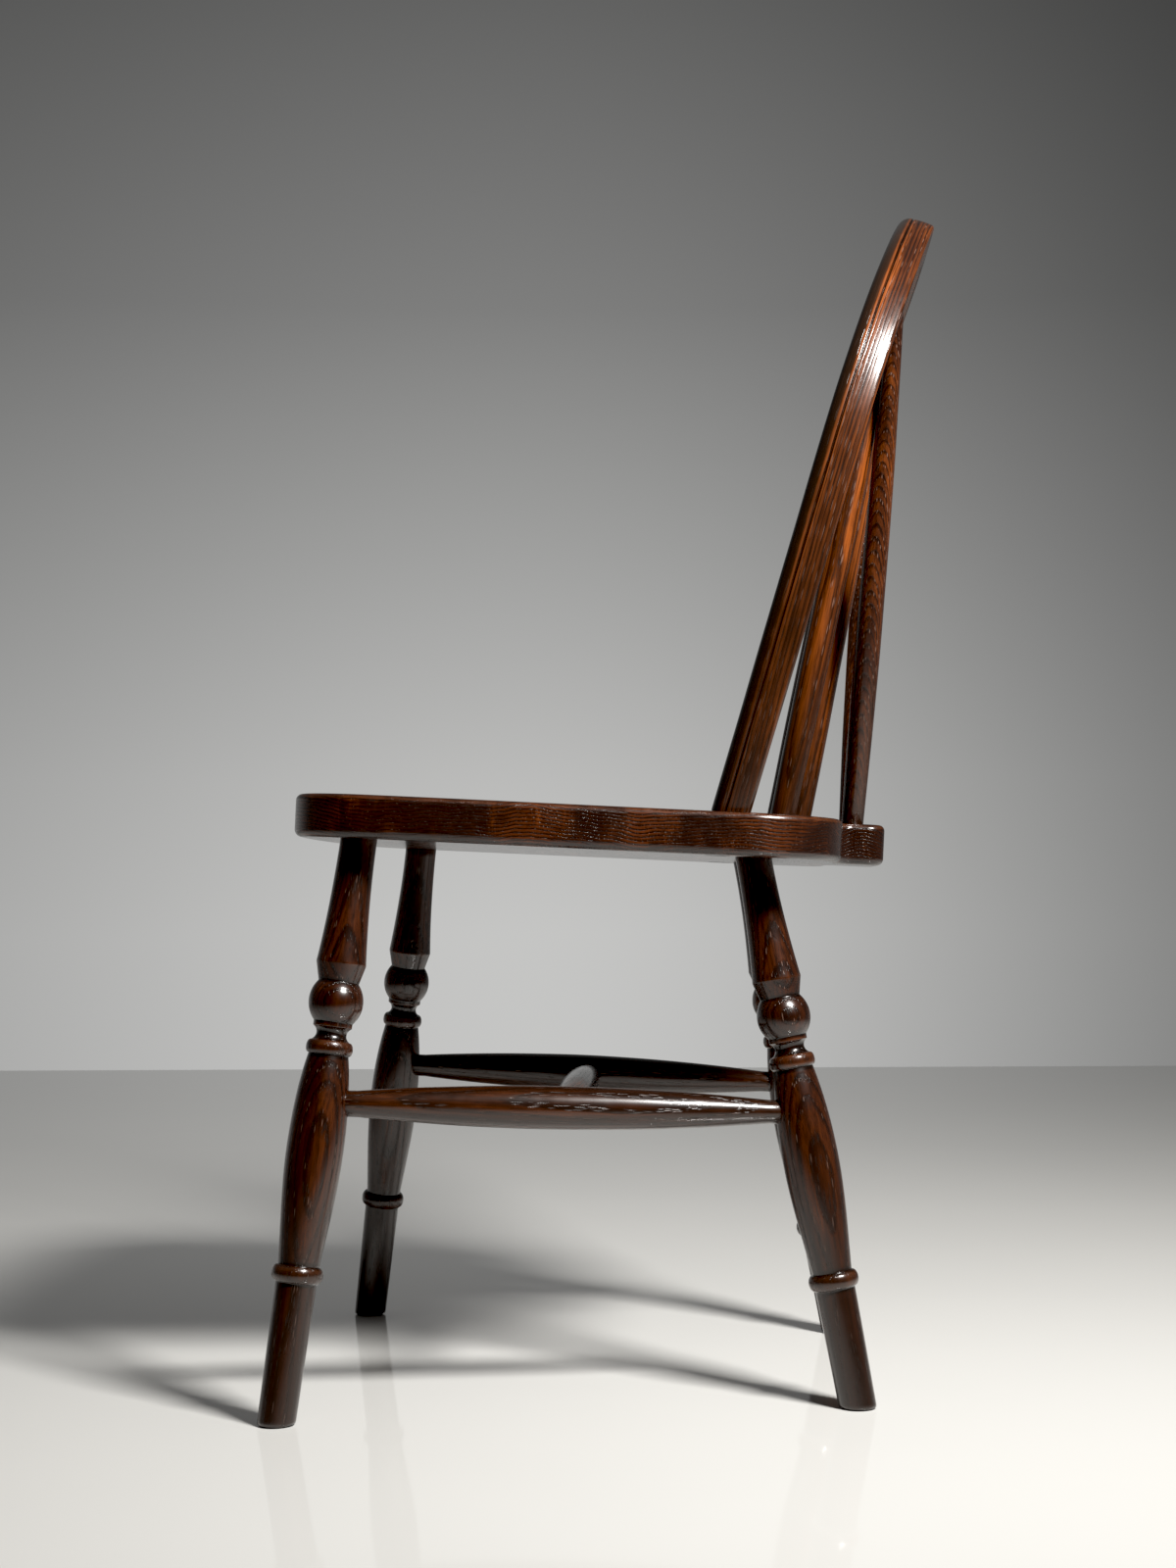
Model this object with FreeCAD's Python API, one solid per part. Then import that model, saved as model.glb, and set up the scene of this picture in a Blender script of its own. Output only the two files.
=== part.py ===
import FreeCAD, Part
import math
import os

# Hoop-back Windsor side chair in oak, with a bobtail seat and two bracing sticks.
# Every turned piece ends in a plain round tenon that is driven into a bored socket.
# Millimetres and degrees.  +Z is up, +Y points to the back, and +X is the right side
# as seen from the front.  Places on the seat are given as x (from the centre line),
# s (back from the front edge, along the plank) and h (above the plank's top face).

V = FreeCAD.Vector

# Seat plank
SEAT_HEIGHT = 444.0            # top face above the floor, at the front edge
SEAT_TILT = 2.9                # the plank drops towards the back
SEAT_THICK = 31.0
SEAT_DEPTH = 405.0             # front edge to back edge, without the bobtail
SEAT_WIDTH = 414.0             # across the front half
SEAT_NARROWING = 36.0          # how much narrower it is where the back corners begin
SEAT_FRONT_BULGE = 8.0         # the front edge bows forward by this much
SEAT_FRONT_CORNER = 60.0       # radii in plan
SEAT_BACK_CORNER = 72.0
BOBTAIL_WIDTH = 98.0
BOBTAIL_LENGTH = 36.0          # past the seat's back edge
BOBTAIL_CORNER = 13.0
BOBTAIL_ROOT = 11.0            # hollow corner where the bobtail leaves the seat
ARRIS_TOP = 4.5                # rounding of the plank's top and bottom edges
ARRIS_BOTTOM = 5.5
SADDLE_DEPTH = 4.0             # shallow hollow in the sitting area
SADDLE_RADIUS = 150.0
SADDLE_FROM_BACK = 227.0       # its centre, forward of the back edge

# Tenons: the play on the diameter, and how far a straight end runs out of its socket
TENON_CLEARANCE = 0.1
TENON_STRAIGHT = 5.0

# Legs: where each axis meets the seat's underside, in from the seat's side and its front
# or back edge, and how far the foot stands out to the side and behind that place
LEG_SOCKET = 24.0              # depth of the blind socket, along the leg
FRONT_LEG_INSET = 37.0
FRONT_LEG_FROM_FRONT = 58.0
FRONT_FOOT_OUT = 44.0
FRONT_FOOT_BEHIND = -53.0
REAR_LEG_INSET = 67.0
REAR_LEG_FROM_BACK = 64.0
REAR_FOOT_OUT = 22.0
REAR_FOOT_BEHIND = 73.0
FOOT_ROUNDING = 2.5

# Leg turning: distances down the leg from the seat's underside, and diameters
LEG_TOP_DIA = 26.2
LEG_TAPER_MID_DIA = 28.8       # halfway between the seat and the shoulder
SHOULDER_AT = 90.0
SHOULDER_DIA = 35.6
BALL_TOP_AT = 103.5
BALL_TOP_DIA = 28.8
BALL_AT = 118.0
BALL_DIA = 38.8
COLLAR_AT = 132.0              # thin disc under the ball
COLLAR_DIA = 27.6
COLLAR_THICK = 3.5
NECK_AT = 139.3
NECK_DIA = 21.6
RING_AT = 145.6
RING_SEAT_DIA = 27.6
RING_DIA = 33.2
RING_THICK = 9.6
VASE_TOP_DIA = 28.4
VASE_TOP_FLARE = 0.2           # growth in radius per length, just under the ring
VASE_AT = 224.0
VASE_DIA = 40.4
LOW_RING_AT = 304.5
LOW_RING_DIA = 36.4
LOW_RING_THICK = 12.0
ANKLE_DIA = 28.9
ANKLE_FLARE = -0.09            # of the vase where it meets the lower ring
FOOT_DIA = 26.8

# H stretcher: distances down the legs, and diameters
STRETCHER_ON_FRONT_LEG = 190.0
STRETCHER_ON_REAR_LEG = 188.0
STRETCHER_FRONT_DIA = 18.6
STRETCHER_MID_DIA = 31.0
STRETCHER_REAR_DIA = 17.2
STRETCHER_SOCKET = 22.0        # below the surface of the leg's widest part
CROSS_AT = 0.5                 # share of the side stretcher, from its front end
CROSS_END_DIA = 16.5
CROSS_MID_DIA = 28.0
CROSS_SOCKET = 15.0            # below the surface of the side stretcher's middle

# Bow: two long side arcs and a round top, in a plane that leans back
BOW_INSET = 24.0               # its centre line at the seat, in from the side at the back corners
BOW_FROM_BACK = 82.2           # and forward of the seat's back edge
BOW_LEAN = 16.8                # from the vertical
BOW_WIDENING = 29.7            # from the seat to the shoulder, on each side
BOW_SHOULDER_UP = 273.7        # the shoulder's distance up the plane from the seat
BOW_TOP_SWEEP = 8.0            # the crown bends back out of the plane by this much
BOW_WIDTH = 24.5               # seen from the front
BOW_END_DEPTH = 27.4           # fore and aft
BOW_SHOULDER_DEPTH = 28.2
BOW_CROWN_DEPTH = 26.1
BOW_BEAD = 7.0                 # radius of the round on the outer front edge
BOW_QUIRK = 0.9                # depth of the groove that sets the bead off
BOW_QUIRK_WIDE = 1.4
BOW_ROUND = 3.0                # radius of the other three edges
BOW_RUN_ON = 1.06              # the side arcs are drawn this much longer, then cut at the seat
BOW_TENON_DIA = 20.0           # passes right through the seat
BOW_SIDE_STEPS = 8             # sections along each side arc and round the top
BOW_TOP_STEPS = 24
WEDGE_THICK = 3.4              # at the seat's underside
WEDGE_TIP = 0.6
WEDGE_LENGTH = 19.0

# Sticks and braces: foot forward of the seat's back edge or behind it, head on the bow's
# centre line or in front of it
INNER_STICK_X = 29.0
INNER_STICK_FROM_BACK = 30.2
INNER_STICK_HEAD_X = 37.0
OUTER_STICK_X = 86.0
OUTER_STICK_FROM_BACK = 43.8
OUTER_STICK_HEAD_X = 94.0
STICK_HEAD_FORWARD = 4.0
STICK_FOOT_DIA = 18.6
STICK_SWELL_DIA = 20.4
STICK_SWELL_AT = 0.3           # share of the length, from the foot
STICK_HEAD_DIA = 10.8
BRACE_X = 22.0
BRACE_BEHIND_BACK = 12.0
BRACE_HEAD_X = 132.0
BRACE_FOOT_DIA = 16.6
BRACE_SWELL_DIA = 19.4
BRACE_SWELL_AT = 0.33
BRACE_HEAD_DIA = 9.6
STICK_SOCKET = 20.0            # depth of the sockets in the seat

SIDES = (("left", -1.0), ("right", 1.0))
LEVEL_WITHIN = 0.01            # an edge counts as lying at a height when it is this close

SEAT_BACK_WIDTH = SEAT_WIDTH - SEAT_NARROWING

# Place of the bow's centre line at the seat: out from the middle, and back from the front edge
BOW_X = SEAT_BACK_WIDTH / 2.0 - BOW_INSET
BOW_BACK = SEAT_DEPTH - BOW_FROM_BACK


def seat_point(x, s, h=0.0):
    """A point given by its place on the seat plank."""
    tilt = math.radians(SEAT_TILT)
    y = s * math.cos(tilt) + h * math.sin(tilt)
    z = SEAT_HEIGHT - s * math.sin(tilt) + h * math.cos(tilt)
    return V(x, y, z)


def moved(shape, start, turn):
    return shape.transformed(FreeCAD.Placement(start, turn).toMatrix())


def on_seat(shape):
    """Move a shape drawn flat, as (x, s, h), on to the tilted seat."""
    return moved(shape, seat_point(0, 0), FreeCAD.Rotation(V(1, 0, 0), -SEAT_TILT))


def on_axis(shape, start, direction):
    """Move a shape turned about +Z so that it starts at start and runs along direction."""
    return moved(shape, start, FreeCAD.Rotation(V(0, 0, 1), direction))


def unit(vector):
    return vector * (1.0 / vector.Length)


def socket(start, direction, length, diameter):
    """The hole bored for a round tenon of the given diameter."""
    return Part.makeCylinder((diameter + TENON_CLEARANCE) / 2.0, length, start, direction)


def line(r1, z1, r2, z2):
    """Straight stretch of a turner's profile, between two (radius, height) points."""
    return Part.makeLine(V(r1, 0, z1), V(r2, 0, z2))


def arc(r1, z1, r_mid, z_mid, r2, z2):
    """Round stretch of a profile, through three points."""
    return Part.Arc(V(r1, 0, z1), V(r_mid, 0, z_mid), V(r2, 0, z2)).toShape()


def smooth(points, slopes=None):
    """Flowing stretch of a profile; slopes are growth in radius per height at its ends."""
    spline = Part.BSplineCurve()
    places = [V(r, 0, z) for r, z in points]
    if slopes is None:
        spline.interpolate(places)
    else:
        spline.interpolate(places, InitialTangent=V(slopes[0], 0, 1), FinalTangent=V(slopes[1], 0, 1))
    return spline.toShape()


def bead(r1, z1, r_mid, r2, z2):
    """Half-round ring on a profile, square to the axis where it starts and ends."""
    spline = Part.BSplineCurve()
    places = [V(r1, 0, z1), V(r_mid, 0, (z1 + z2) / 2.0), V(r2, 0, z2)]
    spline.interpolate(places, InitialTangent=V(1, 0, 0), FinalTangent=V(-1, 0, 0))
    return spline.toShape()


def turned(profile, start_radius, start, end_radius, end):
    """Solid of revolution about +Z, from profile edges between two heights."""
    closing = [line(0, start, start_radius, start), line(end_radius, end, 0, end), line(0, end, 0, start)]
    wire = Part.Wire(Part.__sortEdges__(profile + closing))
    return Part.Face(wire).revolve(V(0, 0, 0), V(0, 0, 1), 360.0)


def swelled_rod(start, end, foot_dia, foot_straight, swell_dia, swell_at, head_dia, head_straight):
    """Turned rod between two points, straight at both ends and fattest in between."""
    length = (end - start).Length
    foot = foot_dia / 2.0
    head = head_dia / 2.0
    bulge = smooth([(foot, foot_straight), (swell_dia / 2.0, swell_at * length), (head, length - head_straight)])
    profile = [line(foot, 0, foot, foot_straight), bulge, line(head, length - head_straight, head, length)]
    return on_axis(turned(profile, foot, 0, head, length), start, end - start)


def plan_arc(centre_x, centre_s, radius, start, end):
    """Arc of the seat's plan about a centre, between two directions in degrees."""
    angles = [math.radians(a) for a in (start, (start + end) / 2.0, end)]
    return Part.Arc(*[V(centre_x + radius * math.cos(a), centre_s + radius * math.sin(a), 0)
                      for a in angles]).toShape()


def seat_outline():
    """Plan of the plank with its bobtail, as a closed wire."""
    front_corner = V(SEAT_WIDTH / 2.0 - SEAT_FRONT_CORNER, SEAT_FRONT_BULGE + SEAT_FRONT_CORNER, 0)
    back_corner = V(SEAT_BACK_WIDTH / 2.0 - SEAT_BACK_CORNER, SEAT_DEPTH - SEAT_BACK_CORNER, 0)
    tail_x = BOBTAIL_WIDTH / 2.0
    tail_end = SEAT_DEPTH + BOBTAIL_LENGTH
    tail_corner = V(tail_x - BOBTAIL_CORNER, tail_end - BOBTAIL_CORNER, 0)
    root = V(tail_x + BOBTAIL_ROOT, SEAT_DEPTH + BOBTAIL_ROOT, 0)
    side = Part.BSplineCurve()
    side.interpolate([V(SEAT_WIDTH / 2.0, front_corner.y, 0), V(SEAT_BACK_WIDTH / 2.0, back_corner.y, 0)],
                     InitialTangent=V(0, 1, 0), FinalTangent=V(0, 1, 0))
    half = [
        plan_arc(front_corner.x, front_corner.y, SEAT_FRONT_CORNER, -90, 0),
        side.toShape(),
        plan_arc(back_corner.x, back_corner.y, SEAT_BACK_CORNER, 0, 90),
        Part.makeLine(V(back_corner.x, SEAT_DEPTH, 0), V(root.x, SEAT_DEPTH, 0)),
        plan_arc(root.x, root.y, BOBTAIL_ROOT, -90, -180),
        Part.makeLine(V(tail_x, root.y, 0), V(tail_x, tail_corner.y, 0)),
        plan_arc(tail_corner.x, tail_corner.y, BOBTAIL_CORNER, 0, 90),
    ]
    other_half = [edge.mirror(V(0, 0, 0), V(1, 0, 0)) for edge in half]
    front = Part.Arc(V(-front_corner.x, SEAT_FRONT_BULGE, 0), V(0, 0, 0),
                     V(front_corner.x, SEAT_FRONT_BULGE, 0)).toShape()
    back = Part.makeLine(V(tail_corner.x, tail_end, 0), V(-tail_corner.x, tail_end, 0))
    return Part.Wire(Part.__sortEdges__([front, back] + half + other_half))


def edges_at_height(shape, z):
    """The edges that lie flat at height z."""
    boxes = [(edge, edge.BoundBox) for edge in shape.Edges]
    return [edge for edge, box in boxes if max(abs(box.ZMin - z), abs(box.ZMax - z)) < LEVEL_WITHIN]


def seat_blank():
    """The plank with rounded edges and its saddle, before any hole is bored."""
    plank = Part.Face(seat_outline()).extrude(V(0, 0, -SEAT_THICK))
    plank = plank.makeFillet(ARRIS_TOP, edges_at_height(plank, 0))
    plank = plank.makeFillet(ARRIS_BOTTOM, edges_at_height(plank, -SEAT_THICK))
    radius = (SADDLE_RADIUS ** 2 + SADDLE_DEPTH ** 2) / (2.0 * SADDLE_DEPTH)
    hollow = Part.makeSphere(radius, V(0, SEAT_DEPTH - SADDLE_FROM_BACK, radius - SADDLE_DEPTH))
    return on_seat(plank.cut(hollow))


def half_space(below):
    """Large block that fills the space above the seat's top face, or below its underside."""
    reach = 2.0 * (SEAT_DEPTH + SEAT_WIDTH)
    block = Part.makeBox(reach, reach, reach, V(-reach / 2.0, -reach / 2.0, 0))
    if below:
        block.translate(V(0, 0, -reach - SEAT_THICK))
    return on_seat(block)


class Leg:
    """Axis of one leg, from the seat's underside down to the floor."""

    def __init__(self, x, back, out, behind, side):
        self.top = seat_point(side * x, back, -SEAT_THICK)
        self.foot = V(self.top.x + side * out, self.top.y + behind, 0)
        self.down = unit(self.foot - self.top)
        self.length = (self.foot - self.top).Length

    def at(self, distance):
        return self.top + self.down * distance

    def hole(self):
        return socket(self.at(-LEG_SOCKET), self.down, LEG_SOCKET + LEG_TOP_DIA, LEG_TOP_DIA)

    def solid(self):
        """The turned leg with its tenon, cut level at the floor."""
        past_floor = self.length + FOOT_DIA
        top = LEG_TOP_DIA / 2.0
        body = turned(leg_profile(past_floor), top, -LEG_SOCKET, FOOT_DIA / 2.0, past_floor)
        body = on_axis(body, self.top, self.down)
        reach = 4.0 * FOOT_DIA
        under_floor = Part.makeBox(reach, reach, reach, self.foot - V(reach / 2.0, reach / 2.0, reach))
        body = body.cut(under_floor)
        return body.makeFillet(FOOT_ROUNDING, edges_at_height(body, 0))


def leg_profile(end):
    """Profile edges of a leg, from its tenon's end down to the given distance."""
    top = LEG_TOP_DIA / 2.0
    shoulder = SHOULDER_DIA / 2.0
    ball_top = BALL_TOP_DIA / 2.0
    collar = COLLAR_DIA / 2.0
    collar_end = COLLAR_AT + COLLAR_THICK
    neck = NECK_DIA / 2.0
    ring_seat = RING_SEAT_DIA / 2.0
    ring_end = RING_AT + RING_THICK
    vase_top = VASE_TOP_DIA / 2.0
    vase = VASE_DIA / 2.0
    ankle = ANKLE_DIA / 2.0
    low_ring_end = LOW_RING_AT + LOW_RING_THICK
    taper_mid = (TENON_STRAIGHT + SHOULDER_AT) / 2.0
    return [
        line(top, -LEG_SOCKET, top, TENON_STRAIGHT),
        arc(top, TENON_STRAIGHT, LEG_TAPER_MID_DIA / 2.0, taper_mid, shoulder, SHOULDER_AT),
        line(shoulder, SHOULDER_AT, ball_top, BALL_TOP_AT),
        arc(ball_top, BALL_TOP_AT, BALL_DIA / 2.0, BALL_AT, collar, COLLAR_AT),
        line(collar, COLLAR_AT, collar, collar_end),
        arc(collar, collar_end, neck, NECK_AT, ring_seat, RING_AT),
        bead(ring_seat, RING_AT, RING_DIA / 2.0, vase_top, ring_end),
        smooth([(vase_top, ring_end), (vase, VASE_AT)], (VASE_TOP_FLARE, 0)),
        smooth([(vase, VASE_AT), (ankle, LOW_RING_AT)], (0, ANKLE_FLARE)),
        bead(ankle, LOW_RING_AT, LOW_RING_DIA / 2.0, ankle, low_ring_end),
        line(ankle, low_ring_end, FOOT_DIA / 2.0, end),
    ]


class Bow:
    """Centre line of the bow, measured in its own leaning plane from the seat's top face."""

    def __init__(self):
        lean = math.radians(BOW_LEAN)
        self.foot = seat_point(0, BOW_BACK)
        self.up = V(0, math.sin(lean), math.cos(lean))
        self.rear = V(0, math.cos(lean), -math.sin(lean))
        self.radius = BOW_X + BOW_WIDENING
        self.side_radius = (BOW_WIDENING ** 2 + BOW_SHOULDER_UP ** 2) / (2.0 * BOW_WIDENING)
        self.side_angle = math.asin(BOW_SHOULDER_UP / self.side_radius)

    def point(self, x, up):
        """A point of the centre line; above the shoulder it is swept back."""
        rise = max(0.0, up - BOW_SHOULDER_UP) / self.radius
        return self.foot + V(x, 0, 0) + self.up * up + self.rear * (BOW_TOP_SWEEP * rise ** 2)

    def side(self, share):
        """On the right side arc, from a little below the seat (0) to the shoulder (1)."""
        angle = self.side_angle * BOW_RUN_ON * (1.0 - share)
        x = self.radius - self.side_radius * (1.0 - math.cos(angle))
        return self.point(x, BOW_SHOULDER_UP - self.side_radius * math.sin(angle))

    def top(self, angle):
        """On the round top, at an angle up from the right shoulder."""
        return self.point(self.radius * math.cos(angle), BOW_SHOULDER_UP + self.radius * math.sin(angle))

    def head(self, x, forward):
        """The point of the round top at a distance x from the middle, set forward of its centre."""
        return self.top(math.acos(x / self.radius)) - self.rear * forward

    def end_direction(self, side):
        """Unit vector down along the bow's end, for its tenon."""
        angle = self.side_angle
        return unit(V(-side * math.sin(angle), 0, 0) - self.up * math.cos(angle))

    def depth(self, up):
        """Fore-and-aft size of the section at a distance up the plane."""
        if up < BOW_SHOULDER_UP:
            share = max(0.0, up / BOW_SHOULDER_UP)
            return BOW_END_DEPTH + (BOW_SHOULDER_DEPTH - BOW_END_DEPTH) * share
        share = (up - BOW_SHOULDER_UP) / self.radius
        return BOW_SHOULDER_DEPTH + (BOW_CROWN_DEPTH - BOW_SHOULDER_DEPTH) * share ** 2


def bow_section(centre, outward, rear, depth):
    """Section of the bow: a bead and its quirk on the outer front edge, the rest rounded."""
    half = BOW_WIDTH / 2.0
    deep = depth / 2.0
    r = BOW_ROUND
    bead_end = BOW_BEAD - deep
    cos45 = math.sqrt(0.5)

    def at(n, b):
        return centre + outward * n + rear * b

    def corner(n, b, radius, n_sign, b_sign):
        """Middle of a rounded corner whose arc has its centre at (n, b)."""
        return at(n + n_sign * radius * cos45, b + b_sign * radius * cos45)

    front_outer = corner(half - BOW_BEAD, BOW_BEAD - deep, BOW_BEAD, 1, -1)
    quirk = at(half - BOW_QUIRK, bead_end + BOW_QUIRK_WIDE / 2.0)
    quirk_end = at(half, bead_end + BOW_QUIRK_WIDE)
    return Part.Wire([
        Part.makeLine(at(r - half, -deep), at(half - BOW_BEAD, -deep)),
        Part.Arc(at(half - BOW_BEAD, -deep), front_outer, at(half, bead_end)).toShape(),
        Part.makeLine(at(half, bead_end), quirk),
        Part.makeLine(quirk, quirk_end),
        Part.makeLine(quirk_end, at(half, deep - r)),
        Part.Arc(at(half, deep - r), corner(half - r, deep - r, r, 1, 1), at(half - r, deep)).toShape(),
        Part.makeLine(at(half - r, deep), at(r - half, deep)),
        Part.Arc(at(r - half, deep), corner(r - half, deep - r, r, -1, 1), at(-half, deep - r)).toShape(),
        Part.makeLine(at(-half, deep - r), at(-half, r - deep)),
        Part.Arc(at(-half, r - deep), corner(r - half, r - deep, r, -1, -1), at(r - half, -deep)).toShape(),
    ])


def bow_blank(bow):
    """The bent hoop without tenons, ending on the seat's top face."""
    side = [bow.side(i / BOW_SIDE_STEPS) for i in range(BOW_SIDE_STEPS)]
    top = [bow.top(math.pi * i / BOW_TOP_STEPS) for i in range(BOW_TOP_STEPS + 1)]
    other = [V(-p.x, p.y, p.z) for p in reversed(side)]
    points = side + top + other
    sections = []
    for i, point in enumerate(points):
        before = points[max(i - 1, 0)]
        after = points[min(i + 1, len(points) - 1)]
        along = unit(after - before)
        rear = unit(bow.rear - along * bow.rear.dot(along))
        up = (point - bow.foot).dot(bow.up)
        sections.append(bow_section(point, rear.cross(along), rear, bow.depth(up)))
    hoop = Part.makeLoft(sections, True)
    below_seat = half_space(True)
    below_seat.translate(seat_point(0, 0) - seat_point(0, 0, -SEAT_THICK))
    return hoop.cut(below_seat)


def bow_tenon(bow, side):
    """Round tenon on one end of the bow, and the wedge driven into it from below."""
    start = seat_point(side * BOW_X, BOW_BACK)
    down = bow.end_direction(side)
    reach = 2.0 * SEAT_THICK
    blank = Part.makeCylinder(BOW_TENON_DIA / 2.0, reach, start - down * BOW_TENON_DIA, down)
    blank = blank.cut(half_space(True))
    normal = seat_point(0, 0, 1) - seat_point(0, 0)
    out = start + down * (SEAT_THICK / abs(down.dot(normal)))
    spare = BOW_TENON_DIA
    slope = (WEDGE_THICK - WEDGE_TIP) / (2.0 * WEDGE_LENGTH)
    mouth = WEDGE_THICK / 2.0 + slope * spare
    corners = [V(-mouth, 0, -spare), V(mouth, 0, -spare), V(WEDGE_TIP / 2.0, 0, WEDGE_LENGTH),
               V(-WEDGE_TIP / 2.0, 0, WEDGE_LENGTH), V(-mouth, 0, -spare)]
    blade = Part.Face(Part.makePolygon(corners)).extrude(V(0, 2.0 * BOW_TENON_DIA, 0))
    blade.translate(V(0, -BOW_TENON_DIA, 0))
    blade = on_axis(blade, out, down * -1.0)
    hole = socket(start - down * BOW_TENON_DIA, down, reach + BOW_TENON_DIA, BOW_TENON_DIA)
    return blank.cut(blade), blank.common(blade), hole


def add_legs(pieces):
    """Four turned legs in blind sockets under the seat; returns their axes by place and side."""
    places = {
        "front": (SEAT_WIDTH / 2.0 - FRONT_LEG_INSET, FRONT_LEG_FROM_FRONT,
                  FRONT_FOOT_OUT, FRONT_FOOT_BEHIND),
        "rear": (SEAT_BACK_WIDTH / 2.0 - REAR_LEG_INSET, SEAT_DEPTH - REAR_LEG_FROM_BACK,
                 REAR_FOOT_OUT, REAR_FOOT_BEHIND),
    }
    legs = {}
    for place, sizes in places.items():
        for name, side in SIDES:
            leg = Leg(*sizes, side)
            legs[place, name] = leg
            pieces["leg_%s_%s" % (place, name)] = leg.solid()
            pieces["seat"] = pieces["seat"].cut(leg.hole())
    return legs


def add_stretchers(pieces, legs):
    """Side stretchers between the legs, and the cross stretcher between those."""
    inset = VASE_DIA / 2.0 - STRETCHER_SOCKET
    middles = []
    for name, side in SIDES:
        front = legs["front", name].at(STRETCHER_ON_FRONT_LEG)
        rear = legs["rear", name].at(STRETCHER_ON_REAR_LEG)
        along = unit(rear - front)
        straight = STRETCHER_SOCKET + TENON_STRAIGHT
        start = front + along * inset
        end = rear - along * inset
        pieces["side_stretcher_" + name] = swelled_rod(
            start, end, STRETCHER_FRONT_DIA, straight, STRETCHER_MID_DIA, 0.5, STRETCHER_REAR_DIA, straight)
        bore = STRETCHER_SOCKET + VASE_DIA
        for leg_name, place, way, diameter in (
                ("leg_front_" + name, start, along, STRETCHER_FRONT_DIA),
                ("leg_rear_" + name, end, along * -1.0, STRETCHER_REAR_DIA)):
            pieces[leg_name] = pieces[leg_name].cut(socket(place, way, bore, diameter))
        middles.append(front + (rear - front) * CROSS_AT)

    inset = STRETCHER_MID_DIA / 2.0 - CROSS_SOCKET
    straight = CROSS_SOCKET + TENON_STRAIGHT
    across = unit(middles[1] - middles[0])
    start = middles[0] + across * inset
    end = middles[1] - across * inset
    pieces["cross_stretcher"] = swelled_rod(
        start, end, CROSS_END_DIA, straight, CROSS_MID_DIA, 0.5, CROSS_END_DIA, straight)
    bore = CROSS_SOCKET + STRETCHER_MID_DIA
    for name, place, way in (("left", start, across), ("right", end, across * -1.0)):
        stretcher = "side_stretcher_" + name
        pieces[stretcher] = pieces[stretcher].cut(socket(place, way, bore, CROSS_END_DIA))


def add_bow(pieces, bow):
    """The bent bow, with its two ends tenoned through the seat and wedged from below."""
    hoop = bow_blank(bow)
    for name, side in SIDES:
        tenon, wedge, hole = bow_tenon(bow, side)
        hoop = hoop.fuse(tenon)
        pieces["bow_wedge_" + name] = wedge
        pieces["seat"] = pieces["seat"].cut(hole)
    pieces["bow"] = hoop


def add_sticks(pieces, bow):
    """Long sticks and bracing sticks, from sockets in the seat to sockets in the bow."""
    stick = (STICK_FOOT_DIA, STICK_SWELL_DIA, STICK_SWELL_AT, STICK_HEAD_DIA)
    brace = (BRACE_FOOT_DIA, BRACE_SWELL_DIA, BRACE_SWELL_AT, BRACE_HEAD_DIA)
    rows = (
        ("stick_inner", INNER_STICK_X, -INNER_STICK_FROM_BACK, INNER_STICK_HEAD_X,
         STICK_HEAD_FORWARD, stick),
        ("stick_outer", OUTER_STICK_X, -OUTER_STICK_FROM_BACK, OUTER_STICK_HEAD_X,
         STICK_HEAD_FORWARD, stick),
        ("brace", BRACE_X, BRACE_BEHIND_BACK, BRACE_HEAD_X, 0.0, brace),
    )
    for kind, x, behind, head_x, forward, (foot_dia, swell_dia, swell_at, head_dia) in rows:
        for name, side in SIDES:
            foot = seat_point(side * x, SEAT_DEPTH + behind)
            head = bow.head(side * head_x, forward)
            along = unit(head - foot)
            start = foot - along * STICK_SOCKET
            pieces["%s_%s" % (kind, name)] = swelled_rod(
                start, head, foot_dia, STICK_SOCKET + TENON_STRAIGHT, swell_dia, swell_at,
                head_dia, BOW_WIDTH)
            seat_bore = socket(start, along, 2.0 * STICK_SOCKET, foot_dia)
            bow_bore = socket(head, along * -1.0, 1.5 * BOW_WIDTH, head_dia)
            pieces["seat"] = pieces["seat"].cut(seat_bore)
            pieces["bow"] = pieces["bow"].cut(bow_bore)


def build():
    """Every piece by name, with the origin on the floor under the middle of the chair."""
    pieces = {"seat": seat_blank()}
    bow = Bow()
    legs = add_legs(pieces)
    add_stretchers(pieces, legs)
    add_bow(pieces, bow)
    add_sticks(pieces, bow)
    whole = Part.makeCompound(list(pieces.values())).optimalBoundingBox(False, False)
    to_origin = V(0, -(whole.YMin + whole.YMax) / 2.0, 0)
    for shape in pieces.values():
        shape.translate(to_origin)
    return pieces


os.makedirs("parts", exist_ok=True)
for node, shape in build().items():
    print("%-22s solids %d  valid %s" % (node, len(shape.Solids), shape.isValid()))
    shape.Solids[0].exportStep("parts/%s.step" % node)
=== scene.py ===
import math
from functools import partial

import bpy
import numpy as np
from bpy.props import FloatProperty, FloatVectorProperty, PointerProperty
from mathutils import Matrix, Vector


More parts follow.
